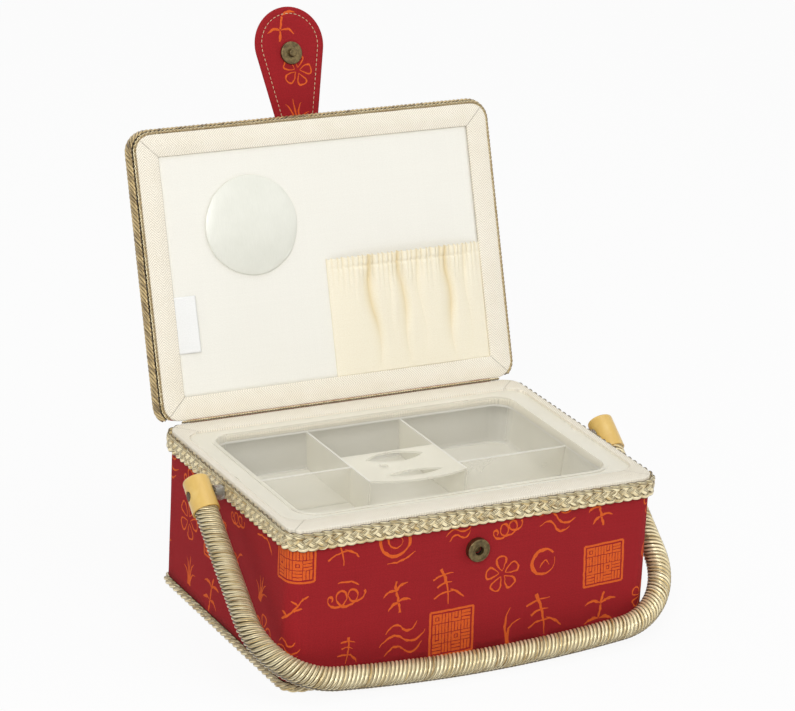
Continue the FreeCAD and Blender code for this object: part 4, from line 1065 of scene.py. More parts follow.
def rim_tape():
    low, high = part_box("rim_binding")
    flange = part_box("tray")[1]
    top, ledge = high.z, high.z - LEDGE_DROP
    behind_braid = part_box("rim_braid")[1].z - TAPE_DEPTH
    soft, near = TAPE_SOFT, top - 0.15 * MM
    recess = (flange.x + RECESS_GAP, flange.y + RECESS_GAP)
    outside = ((0.2 * MM, behind_braid), (0.1 * MM, top - soft), (-0.15 * MM, near), (-soft, top))
    inside = ((soft, top), (0.1 * MM, near), (0, top - soft), (0, ledge + soft), (-soft, ledge))
    below = ((soft, ledge), (0, ledge - soft), (0, low.z + 0.2 * MM))
    rings = turned_in(high, BOX_CORNER_R, outside) + turned_in(recess, RECESS_CORNER_R, inside)
    rings += turned_in(ROOM_HALF, RECESS_CORNER_R, below)
    material = tape_material("cream herringbone tape on the rim", high.x, high.y, RIM_PAINTED_SHADE)
    piece = loft("rim_tape", rings, material, uneven=0.06 * MM)
    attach(piece, "body")
    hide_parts("rim_binding")


rim_tape()


# The lid stands open on its hinge. Its pieces are laid out as on the shut lid, whose inside faces
# down, and are then turned back with it.

LID_TURN = -109.0
LID_CORNER_R = 10 * MM
LID_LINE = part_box("cover_cloth")[1].x       # half width of the lid, as of the box
FRAME_WIDTH = 13.6 * MM


def turned_about(place, degrees):
    """Turn about a line across the box through a place."""
    return Matrix.Translation(place) @ Matrix.Rotation(math.radians(degrees), 4, "X") @ Matrix.Translation(-place)


LID_OPEN = turned_about(cad_pivots["lid_hinge"], LID_TURN)
LID_OPEN_TURN = LID_OPEN.to_3x3()


def box_in(node, space=LID_OPEN):
    """Corners of a solid in a piece's own space."""
    back = space.inverted()
    sides = list(zip(*(back @ vert.co for vert in cad_nodes[node].data.vertices)))
    return Vector([min(side) for side in sides]), Vector([max(side) for side in sides])


COVER_LOW, COVER_HIGH = box_in("lid_cover")
LID_HALF_Y = (COVER_HIGH.y - COVER_LOW.y) / 2
LID_MID_Y = (COVER_HIGH.y + COVER_LOW.y) / 2
FRAME_LOW = box_in("lid_binding")[0].z
LINER_LOW = box_in("lid_liner")[0].z


# The lid's top: the same printed cloth, stretched over wadding on the board and down its edge.

LID_CROWN = 5 * MM
LID_EDGE_BEND = 3.0             # rounding of the padded edge, in the flat pattern's millimetres
LID_SKIRT = 12.0


def rounded_distance(point, half_x, half_y, radius):
    """How far a point is outside a rounded rectangle, and the nearest point and direction there."""
    room_x, room_y = half_x - radius, half_y - radius
    inner = Vector((min(max(point.x, -room_x), room_x), min(max(point.y, -room_y), room_y)))
    away = point - inner
    if away.length < 1e-9:
        return -radius, point, Vector((1, 0))
    outward = away.normalized()
    return away.length - radius, inner + outward * radius, outward


def lid_top():
    bend = LID_EDGE_BEND
    half_x, half_y = LID_LINE / MM - bend, LID_HALF_Y / MM - bend
    radius = LID_CORNER_R / MM - bend
    arc = bend * QUARTER
    crown = LID_CROWN / MM
    edge_top = COVER_HIGH.z / MM - crown
    reach = arc + LID_SKIRT - bend

    def within(margin):
        return lambda spot: rounded_distance(spot, half_x, half_y, radius)[0] < reach - margin

    def outline(away):
        points = ring_points(half_x + away, half_y + away, radius + away, 0, (24, 34), 9)
        return [tuple(point) for point in points]

    def lines(half):
        count = int(half / CLOTH_CELL) + 2
        return [step * CLOTH_CELL for step in range(-count, count + 1)]

    def to_space(place):
        away, near, outward = rounded_distance(place, half_x, half_y, radius)
        if away <= 0:
            near, level = place, edge_top
        elif away < arc:
            near = near + outward * bend * math.sin(away / bend)
            level = edge_top - bend * (1 - math.cos(away / bend))
        else:
            near = near + outward * bend
            level = edge_top - bend - (away - arc)
        share_x = min(1.0, abs(near.x) / (LID_LINE / MM))
        share_y = min(1.0, abs(near.y) / (LID_HALF_Y / MM))
        rise = crown * (1 - share_x ** 2) * (1 - share_y ** 2)
        wave = 0.35 * noise.noise(Vector((near.x, near.y, 0)) * 0.02) * min(1, max(0, -away / 8 + 0.4))
        return LID_OPEN @ (Vector((near.x, near.y + LID_MID_Y / MM, level + rise + wave)) * MM)
    folds = [outline(arc * share) for share in (0, 0.25, 0.5, 0.75, 1)]
    corner = Vector((half_x + reach, half_y + reach))
    strokes = print_motifs(2 * (half_x + reach), 2 * (half_y + reach), 11, corner, within(1.0))
    piece = printed_cloth("lid_top", outline(reach), lines(half_x), lines(half_y), strokes, within(-1e-3),
                          to_space, folds)
    solidify(piece, CLOTH_THICK)
    mend([baked(piece)])
    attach(piece, "lid")
    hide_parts("lid_cover", "lid_padding")


lid_top()


# The braid round the lid's edge: five gold strands twisted and pressed flat, so that they all
# slant one way; two fine cords run beside it, along the tape. All end short of the hinge.

EDGE_STRANDS = 5
EDGE_LAY = 14 * MM
EDGE_STRAND = (2.1 * MM, 2.5 * MM)
EDGE_BRAID_STEP = 0.7 * MM
FINE_CORD_D = 1.1 * MM
FINE_CORD = (FINE_CORD_D, FINE_CORD_D)
FINE_LAY = 5.2 * MM
BRAID_END_SHARE = 0.3           # the braid's soft ends are pulled on round the corners by the hinge


def stations_round_lid(away, level, step, gap):
    """Stations round the lid, from one end of the hinge to the other."""
    radius = LID_CORNER_R + away
    turn = math.acos((LID_CORNER_R - gap) / radius)
    line = (LID_LINE + away, LID_HALF_Y + away, radius)
    first = line[0] - radius + radius * turn
    stations = round_the_box(*line, level, step, first, outline_length(*line) - first, LID_MID_Y)
    return [(LID_OPEN @ point, LID_OPEN_TURN @ outward, LID_OPEN_TURN @ upward) for point, outward, upward in stations]


def lid_edge_braid():
    low, high = box_in("lid_braid")
    gap = (COVER_HIGH.y - high.y) * BRAID_END_SHARE
    thick = high.x - LID_LINE
    # The braid on the lid's edge gets a darker copy of the same gold: painted shade over the whole braid.
    browned = gold_yarn("gold rayon darkened as shade", "#DCC084", "#957A48", "#4E3A1E", "#1C1206")
    half = ((high.z - low.z - EDGE_STRAND[1]) / 2, (thick - EDGE_STRAND[0]) / 2)
    stations = stations_round_lid(thick / 2, (low.z + high.z) / 2, EDGE_BRAID_STEP, gap)
    piece = lay_strands("lid_edge_braid", stations, browned, EDGE_STRANDS, EDGE_LAY, half, EDGE_STRAND, closed=False)
    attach(piece, "lid")
    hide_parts("lid_braid")
    low, high = box_in("lid_piping")
    half = (high.z - low.z) / 2
    stations = stations_round_lid(half, low.z + half, BRAID_STEP, gap)
    fine = gold_yarn("fine gold cord", GOLD_GLINT, GOLD, GOLD, "#7A5C30")
    piece = lay_strands("lid_fine_cords", stations, fine, 2, FINE_LAY, (half - FINE_CORD_D / 2,) * 2, FINE_CORD,
                        closed=False, sides=6, unevenness=0.1 * MM)
    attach(piece, "lid")
    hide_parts("lid_piping")


lid_edge_braid()


# Inside the lid: a frame of the same cream tape, mitred at its corners and turned in to a liner
# of smooth white cotton on card.

FRAME_CORNER_R = 0.8 * MM
FRAME_SKIRT = 3 * MM            # how far it goes up the lid's edge, under the braid


def lid_frame():
    outer, face, soft = (LID_LINE, LID_HALF_Y), FRAME_LOW, TAPE_SOFT
    inner = (LID_LINE - FRAME_WIDTH, LID_HALF_Y - FRAME_WIDTH)
    rings = [(LID_LINE + 0.2 * MM, LID_HALF_Y, LID_CORNER_R, face + FRAME_SKIRT, LID_MID_Y)]
    edge = ((0, face + soft), (-0.15 * MM, face + 0.15 * MM), (-soft, face))
    rings += turned_in(outer, LID_CORNER_R, edge, LID_MID_Y)
    rings += turned_in(outer, LID_CORNER_R / 2, ((-FRAME_WIDTH / 2, face),), LID_MID_Y)
    edge = ((soft, face), (0.1 * MM, face + 0.2 * MM), (0, face + soft), (0, LINER_LOW + 0.1 * MM))
    rings += turned_in(inner, FRAME_CORNER_R, edge, LID_MID_Y)
    material = tape_material("cream herringbone tape in the lid", *outer, LID_PAINTED_LIGHT, LID_MID_Y)
    piece = loft("lid_frame_tape", rings, material, LID_OPEN, 0.1 * MM, -TAPE_THICK)
    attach(piece, "lid")
    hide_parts("lid_binding")


def cloth_grid(name, size_u, size_v, cells, to_space, material, thickness, fold_shade=None):
    """Woven piece from a grid of cells; its flat pattern is kept as a UV map in metres, and the painted shade of its
    folds, if given, at each point.
    """
    across, along = cells
    flat = [Vector((size_u * i / across, size_v * j / along)) for j in range(along + 1) for i in range(across + 1)]
    firsts = [j * (across + 1) + i for j in range(along) for i in range(across)]
    faces = [(first, first + 1, first + across + 2, first + across + 1) for first in firsts]
    piece = new_piece(name, [to_space(place) for place in flat], faces, material)
    keep_pattern(piece.data, flat)
    if fold_shade:
        note(piece.data, "painted fold shade", [fold_shade(place) for place in flat], "FLOAT")
    solidify(piece, thickness, 0.0)
    return mend([baked(piece)])


def lid_liner():
    low, high = box_in("lid_liner")

    def to_space(place):
        spot = Vector((low.x + place.x, low.y + place.y, low.z))
        spot.z += 0.25 * MM + 0.12 * MM * noise.noise(spot * 30)
        return LID_OPEN @ spot
    material = cotton("white liner cotton", "#F6F4EB", "#EDEAE0", PATTERN, 0.3 * MM, 0.03 * MM, uneven=0.01)
    size = high - low
    piece = cloth_grid("lid_liner_cloth", size.x, size.y, (60, 44), to_space, material, 0.4 * MM)
    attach(piece, "lid")
    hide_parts("lid_liner")


lid_frame()
lid_liner()


# The pincushion: a disc of white satin gathered over wadding and a card, and sewn to the liner.
# The satin is blown up against its stitched edge, so that it dimples and puckers as cloth does.

SATIN = ("#E6E6DB", "#CDCEC0")
CUSHION_FILL = (0.985, 0.93)    # share of its place that the cushion takes up, out and up
CUSHION_ROLL = 3.4 * MM
CUSHION_SWELL = 0.9             # 0.5 would make it flat on top and steep at its edge
CUSHION_RINGS = 15
CUSHION_SPOKES = 84
CUSHION_FRAMES = 20
CUSHION_MOST = 0.9 * MM         # furthest that the blown satin may stand off its pattern


def satin():
    material, shader, place = new_material("white satin", Roughness=0.36, Specular_IOR_Level=0.9, Anisotropic=0.4)
    lines = spread(grainy(stretched(place, (1.0, 0.06, 0.06)), 3200.0, 2.0), 0.35, 0.65)
    folds = spread(grainy(place, 90.0), 0.35, 0.7)
    base = mix_colors(folds * 0.15, *SATIN)
    finish_material(shader, mix_colors(lines * 0.18, base, SATIN[1]), lines, 0.03 * MM)
    return material


def cushion_space():
    """The cushion's own space: it stands on the card, with its dome up."""
    low, high = box_in("cushion_base")
    middle = Vector(((low.x + high.x) / 2, (low.y + high.y) / 2, high.z))
    return LID_OPEN @ Matrix.Translation(middle) @ Matrix.Rotation(math.pi, 4, "X")


def pincushion():
    space = cushion_space()
    high = box_in("pincushion", space)[1]
    radius, height, roll = high.x * CUSHION_FILL[0], high.z * CUSHION_FILL[1], CUSHION_ROLL
    profile = []
    for step in range(1, CUSHION_RINGS):
        away = radius * math.sin(step / (CUSHION_RINGS - 1) * math.pi / 2)
        dome = max(0.0, 1 - (away / radius) ** 2) ** CUSHION_SWELL
        profile.append((away, roll * 0.6 + (height - roll * 0.6) * dome))
    profile += [(radius, roll * 0.35), (radius * 0.985, roll * 0.1), (radius * 0.95, 0.1 * MM)]
    count = CUSHION_SPOKES
    verts = [Vector((0, 0, height))]
    for away, level in profile:
        turns = [2 * math.pi * spoke / count for spoke in range(count)]
        verts += [Vector((away * math.cos(turn), away * math.sin(turn), level)) for turn in turns]
    faces = [(0, 1 + spoke, 1 + (spoke + 1) % count) for spoke in range(count)]
    for ring in range(len(profile) - 1):
        for spoke in range(count):
            a, b = 1 + ring * count + spoke, 1 + ring * count + (spoke + 1) % count
            faces.append((a, a + count, b + count, b))
    last = len(verts) - count
    faces.append(tuple(range(len(verts) - 1, last - 1, -1)))
    piece = new_piece("pincushion_satin", verts, faces, satin())
    piece.data.polygons[len(faces) - 1].use_smooth = False
    blow_up(piece, list(range(last - count, last + count)))
    piece.data.transform(space)
    mend([piece])
    smoother = piece.modifiers.new("smooth", "SUBSURF")
    smoother.levels = smoother.render_levels = 1
    baked(piece)
    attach(piece, "lid")
    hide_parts("pincushion", "cushion_base")


def blow_up(piece, pinned):
    """Lets cloth swell under light pressure with its sewn edge held, then keeps it near its pattern."""
    before = [vert.co.copy() for vert in piece.data.vertices]
    piece.vertex_groups.new(name="sewn").add(pinned, 1.0, "REPLACE")
    cloth = piece.modifiers.new("cloth", "CLOTH")
    settings = cloth.settings
    settings.vertex_group_mass = "sewn"
    settings.use_pressure = True
    settings.uniform_pressure_force = 4.0
    settings.shrink_min = -0.05
    settings.tension_stiffness = settings.compression_stiffness = 12
    settings.bending_stiffness = 0.02
    settings.quality = 6
    settings.effector_weights.gravity = 0
    cloth.point_cache.frame_start, cloth.point_cache.frame_end = 1, CUSHION_FRAMES
    for number in range(1, CUSHION_FRAMES + 1):
        bpy.context.scene.frame_set(number)
    baked(piece)
    bpy.context.scene.frame_set(1)
    for vert, start in zip(piece.data.vertices, before):
        move = vert.co - start
        if move.length > CUSHION_MOST:
            vert.co = start + move.normalized() * CUSHION_MOST


pincushion()


# The pocket: unbleached cotton, wider than its place, gathered by elastic in the hem at its mouth
# and sewn to the liner along its foot and sides. The gathers run down it as long soft folds, painted darker in their
# valleys as shade.

POCKET_CREAM = "#FFF8E3"
POCKET_SHADE = "#F4E9CE"
POCKET_FOLD_SHADE = "#E9D5A4"         # painted shade in the folds' valleys and between the hem's puckers
POCKET_CLOTH = 0.5 * MM
POCKET_PUCKERS = 32
POCKET_BLOCKS = (192, 96)
POCKET_FOLDS = {0.25: 1.0, 0.36: 0.4, 0.45: 0.9, 0.56: 0.5, 0.76: 1.0, 0.88: 0.55}     # place: depth
POCKET_FOOT = 1.4 * MM          # how far it stands off the liner at its foot and at its mouth
POCKET_MOUTH = 6.4 * MM
GATHERED_FROM = 0.55            # share of its height below which the elastic gathers nothing
PUCKER_HEIGHT = 1.0 * MM
POCKET_SEAM = (0.8 * MM, 0.9 * MM)      # how deep and wide the hem's seam draws the cloth in
FOLD_DEPTH = 4.2 * MM
HEM = 6 * MM


def fold_depth(across, up):
    """How deep in a fold a place is, from 0 on the swell between two folds to 1 in a fold's valley."""
    deepest = 0.0
    for at, depth in POCKET_FOLDS.items():
        from_valley = across - at - 0.06 * (1 - at) * (1 - up) - 0.012 * math.sin(9 * up + 20 * at)
        side = 0.045 if from_valley > 0 else 0.085
        valley = max(0.0, 1 - abs(from_valley) / side)
        deepest = max(deepest, depth * valley ** 1.4 * min(1.0, 0.25 + 1.6 * depth * up))
    return deepest


def pocket():
    low, high = box_in("pocket")
    width, length = high.x - low.x, high.y - low.y
    chance = random.Random(7)
    shifts = [chance.uniform(-0.3, 0.3) for _ in range(POCKET_PUCKERS + 2)]
    sizes = [chance.uniform(0.55, 1.0) for _ in range(POCKET_PUCKERS + 2)]

    def gather(place):
        """How far the elastic has gathered a place, where it is among the puckers, how high in its own."""
        number = place.x / width * POCKET_PUCKERS
        phase = number + shifts[int(number)] * (1 - abs(2 * (number % 1) - 1))
        height = sizes[int(number)] * (2 * abs(math.sin(math.pi * phase)) - 1.2)
        gathered = max(0.0, (place.y / length - GATHERED_FROM) / 0.45) ** 1.6
        return gathered, phase, height

    def to_space(place):
        across, up = place.x / width, place.y / length
        gathered, phase, pucker = gather(place)
        off = POCKET_FOOT + (POCKET_MOUTH - POCKET_FOOT) * up ** 0.85
        off *= (1 - abs(2 * across - 1) ** 3) ** 0.7
        off += PUCKER_HEIGHT * gathered * pucker * min(1, 14 * across, 14 * (1 - across))
        share = min(1.0, off / POCKET_MOUTH * 1.3)
        off -= FOLD_DEPTH * share * fold_depth(across, up) * (1 - 0.75 * max(0.0, (up - 0.8) / 0.2))
        seam = (place.y - (length - HEM)) / POCKET_SEAM[1]
        off -= POCKET_SEAM[0] * math.exp(-seam ** 2) * share
        off += 0.3 * MM * noise.noise(Vector((across * 9, up * 6, 0))) * share
        x = low.x + place.x + 0.3 * MM * gathered * math.cos(math.pi * phase)
        y = high.y - place.y + 0.7 * MM * gathered * pucker
        return LID_OPEN @ Vector((x, y, high.z - max(off, 0.2 * MM)))

    # Painted shade: how dark the cloth is painted in the folds' valleys and between the hem's puckers.
    def depth_at(place):
        gathered, _, pucker = gather(place)
        return min(1.0, fold_depth(place.x / width, place.y / length) ** 2 + 0.8 * gathered ** 2 * max(0.0, -pucker))
    material = cotton("unbleached pocket cotton", POCKET_CREAM, POCKET_SHADE, PATTERN, 0.3 * MM, 0.05 * MM,
                      uneven=0.012)
    # The cloth is painted darker in the folds' valleys and between the puckers, as shade.
    shader = material.node_tree.nodes["Principled BSDF"]
    plain = Flow(shader.inputs["Base Color"].links[0].from_socket)
    fold_shade = out(plain.tree, "ShaderNodeAttribute", output="Fac", attribute_name="painted fold shade")
    finish_material(shader, mix_colors(fold_shade * 0.7, plain, POCKET_FOLD_SHADE))
    piece = cloth_grid("pocket_cloth", width, length, POCKET_BLOCKS, to_space, material, POCKET_CLOTH, depth_at)
    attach(piece, "lid")
    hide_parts("pocket", "pocket_elastic")


pocket()


# The label: a small folded ribbon, left bare, caught under the liner's left edge.

LABEL_WHITE = "#F4F4F2"


def bare_label():
    low, high = box_in("blank_label")
    width, length = high.x - low.x, high.y - low.y

    def to_space(place):
        curl = (place.x / width) ** 2 * 1.3 * MM * (0.8 + 0.4 * place.y / length)
        rise = 0.3 * MM + curl + 0.06 * MM * noise.noise(place.to_3d() * 90)
        return LID_OPEN @ Vector((low.x + place.x - 0.15 * curl, low.y + place.y, high.z - rise))
    material = cotton("white ribbon", LABEL_WHITE, "#E9E9E6", PATTERN, 0.25 * MM, 0.02 * MM, 0.6, 0.01)
    piece = cloth_grid("bare_label_ribbon", width, length, (14, 30), to_space, material, 0.35 * MM)
    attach(piece, "lid")
    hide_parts("blank_label")


bare_label()


# The cloth hinge: a strip of the red cotton glued up the back of the box and on to the back of
# the lid, with a free stretch between them that bends.

HINGE_CELLS = (90, 26)
HINGE_CORD_IN = 0.2 * MM
HINGE_CORD_STEP = 0.6 * MM
HINGE_CORD_LAY = 3.4 * MM
HINGE_CORD_UP = 0.6             # its middle above the rim, as a share of a strand's thickness
HINGE_CORD_HALF = 0.34          # its strands' reach from that middle, as the same share


def cloth_hinge():
    low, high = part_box("hinge_leaf_box")
    lid_low, lid_high = box_in("hinge_leaf_lid")
    pivot = cad_pivots["lid_hinge"]
    up_box, up_lid = pivot.z - low.z, lid_high.z - pivot.z

    def to_space(place):
        far = place.y - up_box
        x, z = low.x + place.x, pivot.z + far
        if far > 0:
            return LID_OPEN @ Vector((x, (lid_low.y + lid_high.y) / 2, z))
        return Vector((x, (low.y + high.y) / 2, z))
    piece = cloth_grid("hinge_cloth", high.x - low.x, up_box + up_lid, HINGE_CELLS, to_space, PRINTED_RED, 0.45 * MM)
    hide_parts("hinge_leaf_box", "hinge_leaf_lid")
    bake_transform(piece)


def hinge_cord():
    """Fine gold cord glued along the rim's back edge, in the gap under the lid."""
    half_x = LID_LINE - LID_CORNER_R
    count = round(2 * half_x / HINGE_CORD_STEP)
    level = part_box("rim_binding")[1].z + FINE_CORD_D * HINGE_CORD_UP
    back = cad_pivots["lid_hinge"].y - HINGE_CORD_IN
    places = [Vector((half_x * (2 * i / count - 1), back, level)) for i in range(count + 1)]
    stations = [(place, Vector((0, 0, 1)), Vector((0, -1, 0))) for place in places]
    piece = lay_strands("hinge_cord", stations, GOLD_CORD, 2, HINGE_CORD_LAY, (FINE_CORD_D * HINGE_CORD_HALF,) * 2,
                        FINE_CORD, closed=False, sides=6, unevenness=0.15 * MM)
    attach(piece, "body")


cloth_hinge()
hinge_cord()


# The closing tab: two faces of the printed cotton over a woven stiffener, sewn all round near
# the edge. It folds down over the front of the shut lid; here it stands up with the lid.

TAB_ROOT = 28.5                 # the tab's sizes are in its flat pattern's millimetres
TAB_HEAD_R = 23.0
TAB_HEAD_DROP = 45.2
TAB_BEND_R = 3.0
TAB_BEND = TAB_BEND_R * QUARTER
TAB_THICK = 2.4
TAB_SEAM = 4.2
TAB_SEAM_DENT = (0.28, 0.8)     # how deep and wide the seam draws the cloth in
TAB_ROUND = 1.2                 # how far in from its edge the tab is rounded over
TAB_CELL = (3.5, 3.0)
STITCH_PITCH = 2.9 * MM
STITCH = (2.1 * MM, 0.42 * MM)

TAB_SPACE = LID_OPEN @ turned_about(LID_OPEN.inverted() @ cad_pivots["tab_fold"], -90)
TAB_LOW = box_in("closure_tab", TAB_SPACE)[0]
TAB_AXIS = TAB_SPACE.inverted() @ cad_pivots["tab_fold"]
TAB_FORWARD = (TAB_AXIS.y - TAB_LOW.y) / MM - TAB_THICK / 2
TAB_RUN = TAB_FORWARD - TAB_BEND_R


def sewn_line_tree():
    """Geometry nodes that lay stitches of thread along a seam."""
    inputs = {"Seam": "Geometry", "Pitch": "Float", "Length": "Float", "Thread": "Float", "Material": "Material"}
    tree, given = new_group("GeometryNodeTree", "sewn line", inputs, {"Stitches": "Geometry"})
    line = out(tree, "GeometryNodeMeshToCurve", {"Mesh": given["Seam"]})
    spaced = out(tree, "GeometryNodeResampleCurve", {"Curve": line, "Length": given["Pitch"]}, mode="LENGTH")
    ball = out(tree, "GeometryNodeMeshUVSphere", {"Segments": 8, "Rings": 6, "Radius": 0.5})
    size = out(tree, "ShaderNodeCombineXYZ", {0: given["Length"], 1: given["Thread"], 2: given["Thread"]})
    ball = out(tree, "GeometryNodeTransform", {"Geometry": ball, "Scale": size})
    tangent = out(tree, "GeometryNodeInputTangent")
    turn = out(tree, "FunctionNodeAlignRotationToVector", {"Vector": tangent}, axis="X")
    laid = out(tree, "GeometryNodeInstanceOnPoints", {"Points": spaced, "Instance": ball, "Rotation": turn})
    return give_solid(tree, laid, given["Material"])


SEWN_LINE = sewn_line_tree()


def sewing_thread():
    material, shader, place = new_material("cream sewing thread", Roughness=0.6, Sheen_Weight=0.2)
    finish_material(shader, mix_colors(grainy(place, 4000.0, 1.0), "#E6D3AE", "#BFA679"))
    return material


SEWING_THREAD = sewing_thread()


def sew(name, points, closed=False):
    """Row of stitches through points, in metres."""
    piece = new_piece(name, points, [], edges=line_edges(len(points), closed))
    values = {"Pitch": STITCH_PITCH, "Length": STITCH[0], "Thread": STITCH[1], "Material": SEWING_THREAD}
    return grown(piece, SEWN_LINE, values)


def tab_edge(margin, steps=40):
    """Outline of the tab's flat pattern: straight sides flaring to a round head, root first."""
    run = TAB_BEND + TAB_RUN
    radius = TAB_HEAD_R - margin
    half_root = TAB_ROOT / 2 - margin
    reach = math.hypot(TAB_HEAD_DROP, half_root)
    turn = math.asin(radius / reach) - math.atan2(half_root, TAB_HEAD_DROP)
    points = [Vector((half_root, margin)), Vector((half_root, run))]
    for step in range(steps + 1):
        angle = -turn + (math.pi + 2 * turn) * step / steps
        points.append(Vector((radius * math.cos(angle), run + TAB_HEAD_DROP + radius * math.sin(angle))))
    return points + [Vector((-half_root, run)), Vector((-half_root, margin))]


def edge_distance(point, outline):
    """Distance to a closed outline, counted positive inside it."""
    nearest, crossings = 1e9, False
    for start, end in zip(outline, outline[1:] + outline[:1]):
        leg = end - start
        share = min(1, max(0, (point - start).dot(leg) / leg.length_squared))
        nearest = min(nearest, (point - start - leg * share).length)
        if (start.y > point.y) != (end.y > point.y):
            if point.x < start.x + (point.y - start.y) / (end.y - start.y) * leg.x:
                crossings = not crossings
    return nearest if crossings else -nearest


def on_tab(across, far, off):
    """Place on the tab, folded: across it, far along it from its fold, and off its middle layer."""
    turn = min(max(0.0, (far - TAB_RUN) / TAB_BEND_R), QUARTER)
    forward = min(far, TAB_RUN) + TAB_BEND_R * math.sin(turn)
    drop = TAB_BEND_R * (1 - math.cos(turn)) + max(0.0, far - TAB_RUN - TAB_BEND)
    place = Vector((across, -forward - off * math.sin(turn), off * math.cos(turn) - drop))
    return TAB_SPACE @ (TAB_AXIS + place * MM)


def tab_face(name, side, seed):
    """One face of the tab, rounded over at its edge and drawn in a little along its seam."""
    margins = (0, 0.15, 0.5, 1.1, TAB_SEAM - 0.7, TAB_SEAM, TAB_SEAM + 0.7)
    outline, *folds = [tab_edge(margin) for margin in margins]

    def within(margin):
        return lambda spot: edge_distance(spot, outline) > margin

    def to_space(place):
        depth = max(0.0, edge_distance(place, outline))
        edge = 1 - min(1.0, depth / TAB_ROUND)
        off = (TAB_THICK / 2) * math.sqrt(max(0.0, 1 - edge ** 2))
        off -= TAB_SEAM_DENT[0] * math.exp(-((depth - TAB_SEAM) / TAB_SEAM_DENT[1]) ** 2)
        off -= 0.1 * min(1, depth) * (1 + noise.noise(Vector((place.x, place.y, seed)) * 0.16))
        return on_tab(place.x, place.y, off * side)
    length = max(point.y for point in outline)
    columns = [x * TAB_CELL[0] for x in range(-6, 7)]
    rows = [y * TAB_CELL[1] for y in range(1, int(length / TAB_CELL[1]) + 1)]
    strokes = print_motifs(2 * TAB_HEAD_R, length, seed, Vector((TAB_HEAD_R, 0)), within(1.3), 0.9)
    lines = [[tuple(point) for point in line] for line in (outline, *folds)]
    return printed_cloth(name, lines[0], columns, rows, strokes, within(-1e-3), to_space, lines[1:])


def joined(name, pieces):
    """One piece from several, sewn together where their edges meet."""
    piece = mend(pieces, 2e-6)
    piece.name = piece.data.name = name
    return piece


def closing_tab():
    piece = joined("closing_tab_cloth", [tab_face("tab_outer", 1, 3), tab_face("tab_inner", -1, 21)])
    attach(piece, "closure_tab")
    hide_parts("closure_tab")
    seam = tab_edge(TAB_SEAM)[1:-1]
    rows = []
    for side in (1, -1):
        points = [on_tab(point.x, point.y, side * (TAB_THICK / 2 - 0.22)) for point in seam]
        rows.append(sew(f"tab_stitches_{side}", points))
    piece = joined("tab_stitching", rows)
    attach(piece, "closure_tab")


closing_tab()


# The root of the tab: the same strip carried on over the lid's edge and sewn flat on its top.

ROOT_THICK = 1.4 * MM
ROOT_SEAM = 2.2 * MM


def tab_root():
    low, high = box_in("tab_anchor")
    width, length = high.x - low.x, high.y - low.y
    edge_top = COVER_HIGH.z - LID_CROWN

    def to_space(place):
        x, y = low.x + place.x, low.y + place.y
        share_x, share_y = x / LID_LINE, (y - LID_MID_Y) / LID_HALF_Y
        crown = LID_CROWN * (1 - share_x ** 2) * (1 - share_y ** 2)
        near = min(place.x, width - place.x, place.y, length - place.y)
        rise = 0.25 * MM + ROOT_THICK * min(0.55, near / (1.6 * MM))
        return LID_OPEN @ Vector((x, y, edge_top + crown + rise))
    piece = cloth_grid("tab_root_cloth", width, length, (44, 18), to_space, PRINTED_RED, 0.7 * MM)
    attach(piece, "lid")
    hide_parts("tab_anchor")
    left, front = ROOT_SEAM, ROOT_SEAM
    right, back = width - ROOT_SEAM, length - ROOT_SEAM
    lift = LID_OPEN_TURN @ Vector((0, 0, 0.4 * MM))
    corners = ((left, back), (left, front), (right, front), (right, back))
    piece = sew("tab_root_stitching", [to_space(Vector(corner)) + lift for corner in corners], True)
    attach(piece, "lid")


tab_root()


# The snap: a magnetic closure of antique brass, its stud on the tab and its socket on the front.

BRASS = metal("antique brass", "#7C6C4A", "#4E4330", 0.34, 500.0)
dress(BRASS, "snap_stud", "snap_socket", "socket_backplate", "stud_backplate")
dress(metal("magnet", "#55524C", "#35332F", 0.45, 700.0), "socket_magnet")


# The tray: one moulding of thin milky polypropylene, with a flange all round that hangs on the
# rim's ledge, dividers, and a low bridge with finger holes between the two long dividers.

MILKY = ("#FAF7EA", "#F2EEDF")
DIVIDER_TOP = 92.5 * MM
EDGE_BAND = 0.5 * MM            # the cut edges look whiter than the walls, as light gathers in them
BRIDGE_MIDDLE = (-4.75 * MM, -4.25 * MM)
BRIDGE_HALF = (30.6 * MM, 22.9 * MM)
MILKY_SOLID = (0.22, 0.72)      # how solid a wall looks face on and at a slant
EDGE_SOLID = 0.45               # and how solid and how white a cut edge does
EDGE_WHITE = 0.5


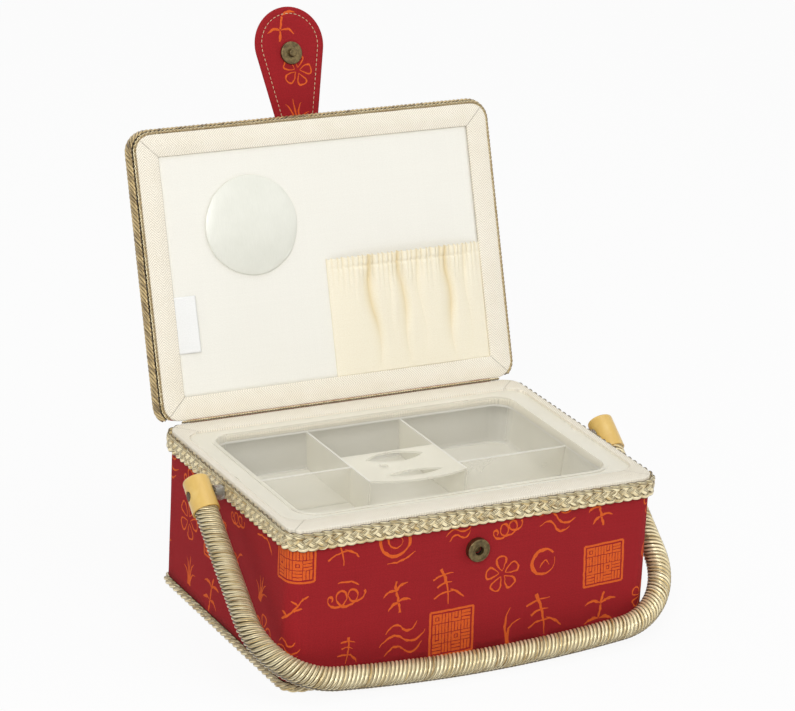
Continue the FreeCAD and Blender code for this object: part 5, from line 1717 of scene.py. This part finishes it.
def milky_plastic():
    material, shader, place = new_material("milky polypropylene", Roughness=0.3, IOR=1.45)
    parts = add_node(place.tree, "ShaderNodeSeparateXYZ", {0: place}).outputs
    x, y, level = (Flow(part) for part in parts)
    off_side = (x - BRIDGE_MIDDLE[0]).size().maths("GREATER_THAN", BRIDGE_HALF[0])
    off_end = (y - BRIDGE_MIDDLE[1]).size().maths("GREATER_THAN", BRIDGE_HALF[1])
    on_edge = (level - DIVIDER_TOP).size().maths("LESS_THAN", EDGE_BAND) * off_side.maths("MAXIMUM", off_end)
    base = mix_colors(spread(grainy(place, 22.0), 0.3, 0.75), *MILKY)
    facing = out(place.tree, "ShaderNodeLayerWeight", {"Blend": 0.5}, "Facing")
    cloudy = spread(facing, 0.1, 0.95, *MILKY_SOLID).maths("MAXIMUM", on_edge * EDGE_SOLID)
    color = mix_colors(on_edge * EDGE_WHITE, base, WHITE)
    finish_material(shader, color, grainy(place, 300.0), 0.02 * MM, Alpha=cloudy)
    return material


dress(milky_plastic(), "tray")


# Inside the box: white cotton glued to the boards, seen when the tray is lifted out; the boards
# themselves are grey card, and the foot is covered with plain red cotton.

LINING_CORNER_R = 6 * MM
LINING_OFF = 0.8 * MM           # how far inside its solid's outside the lining is laid


def box_lining():
    low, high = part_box("lining")
    half_x, half_y, floor = high.x - LINING_OFF, high.y - LINING_OFF, low.z + LINING_OFF
    rise = high.z - floor
    levels = (high.z, *(floor + rise * share for share in (0.75, 0.5, 0.25)), floor + 2 * MM)
    rings = turned_in((half_x, half_y), LINING_CORNER_R, [(0, level) for level in levels])
    rings += turned_in((half_x, half_y), LINING_CORNER_R, ((-0.6 * MM, floor),))
    for share in (0.75, 0.5, 0.25, 0.03):
        rings.append((half_x * share, half_y * share, LINING_CORNER_R * share, floor, 0))
    cloth = cotton("white lining cotton", "#EFEDE6", "#E0DDD3", None, 0.3 * MM, 0.03 * MM, uneven=0.012)
    piece = loft("box_lining_cloth", rings, cloth, uneven=0.2 * MM, thickness=0.5 * MM)
    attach(piece, "body")
    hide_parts("lining")


def grey_card():
    material, shader, place = new_material("grey card", Roughness=0.9)
    finish_material(shader, mix_colors(spread(grainy(place, 700.0), 0.3, 0.7), "#B5AE9F", "#9A9384"))
    return material


box_lining()
dress(grey_card(), "wall_board", "tray_ledge", "bottom_board", "lid_board", "tab_stiffener")
dress(cotton("plain red cotton", RED, RED_WORN), "bottom_cloth")
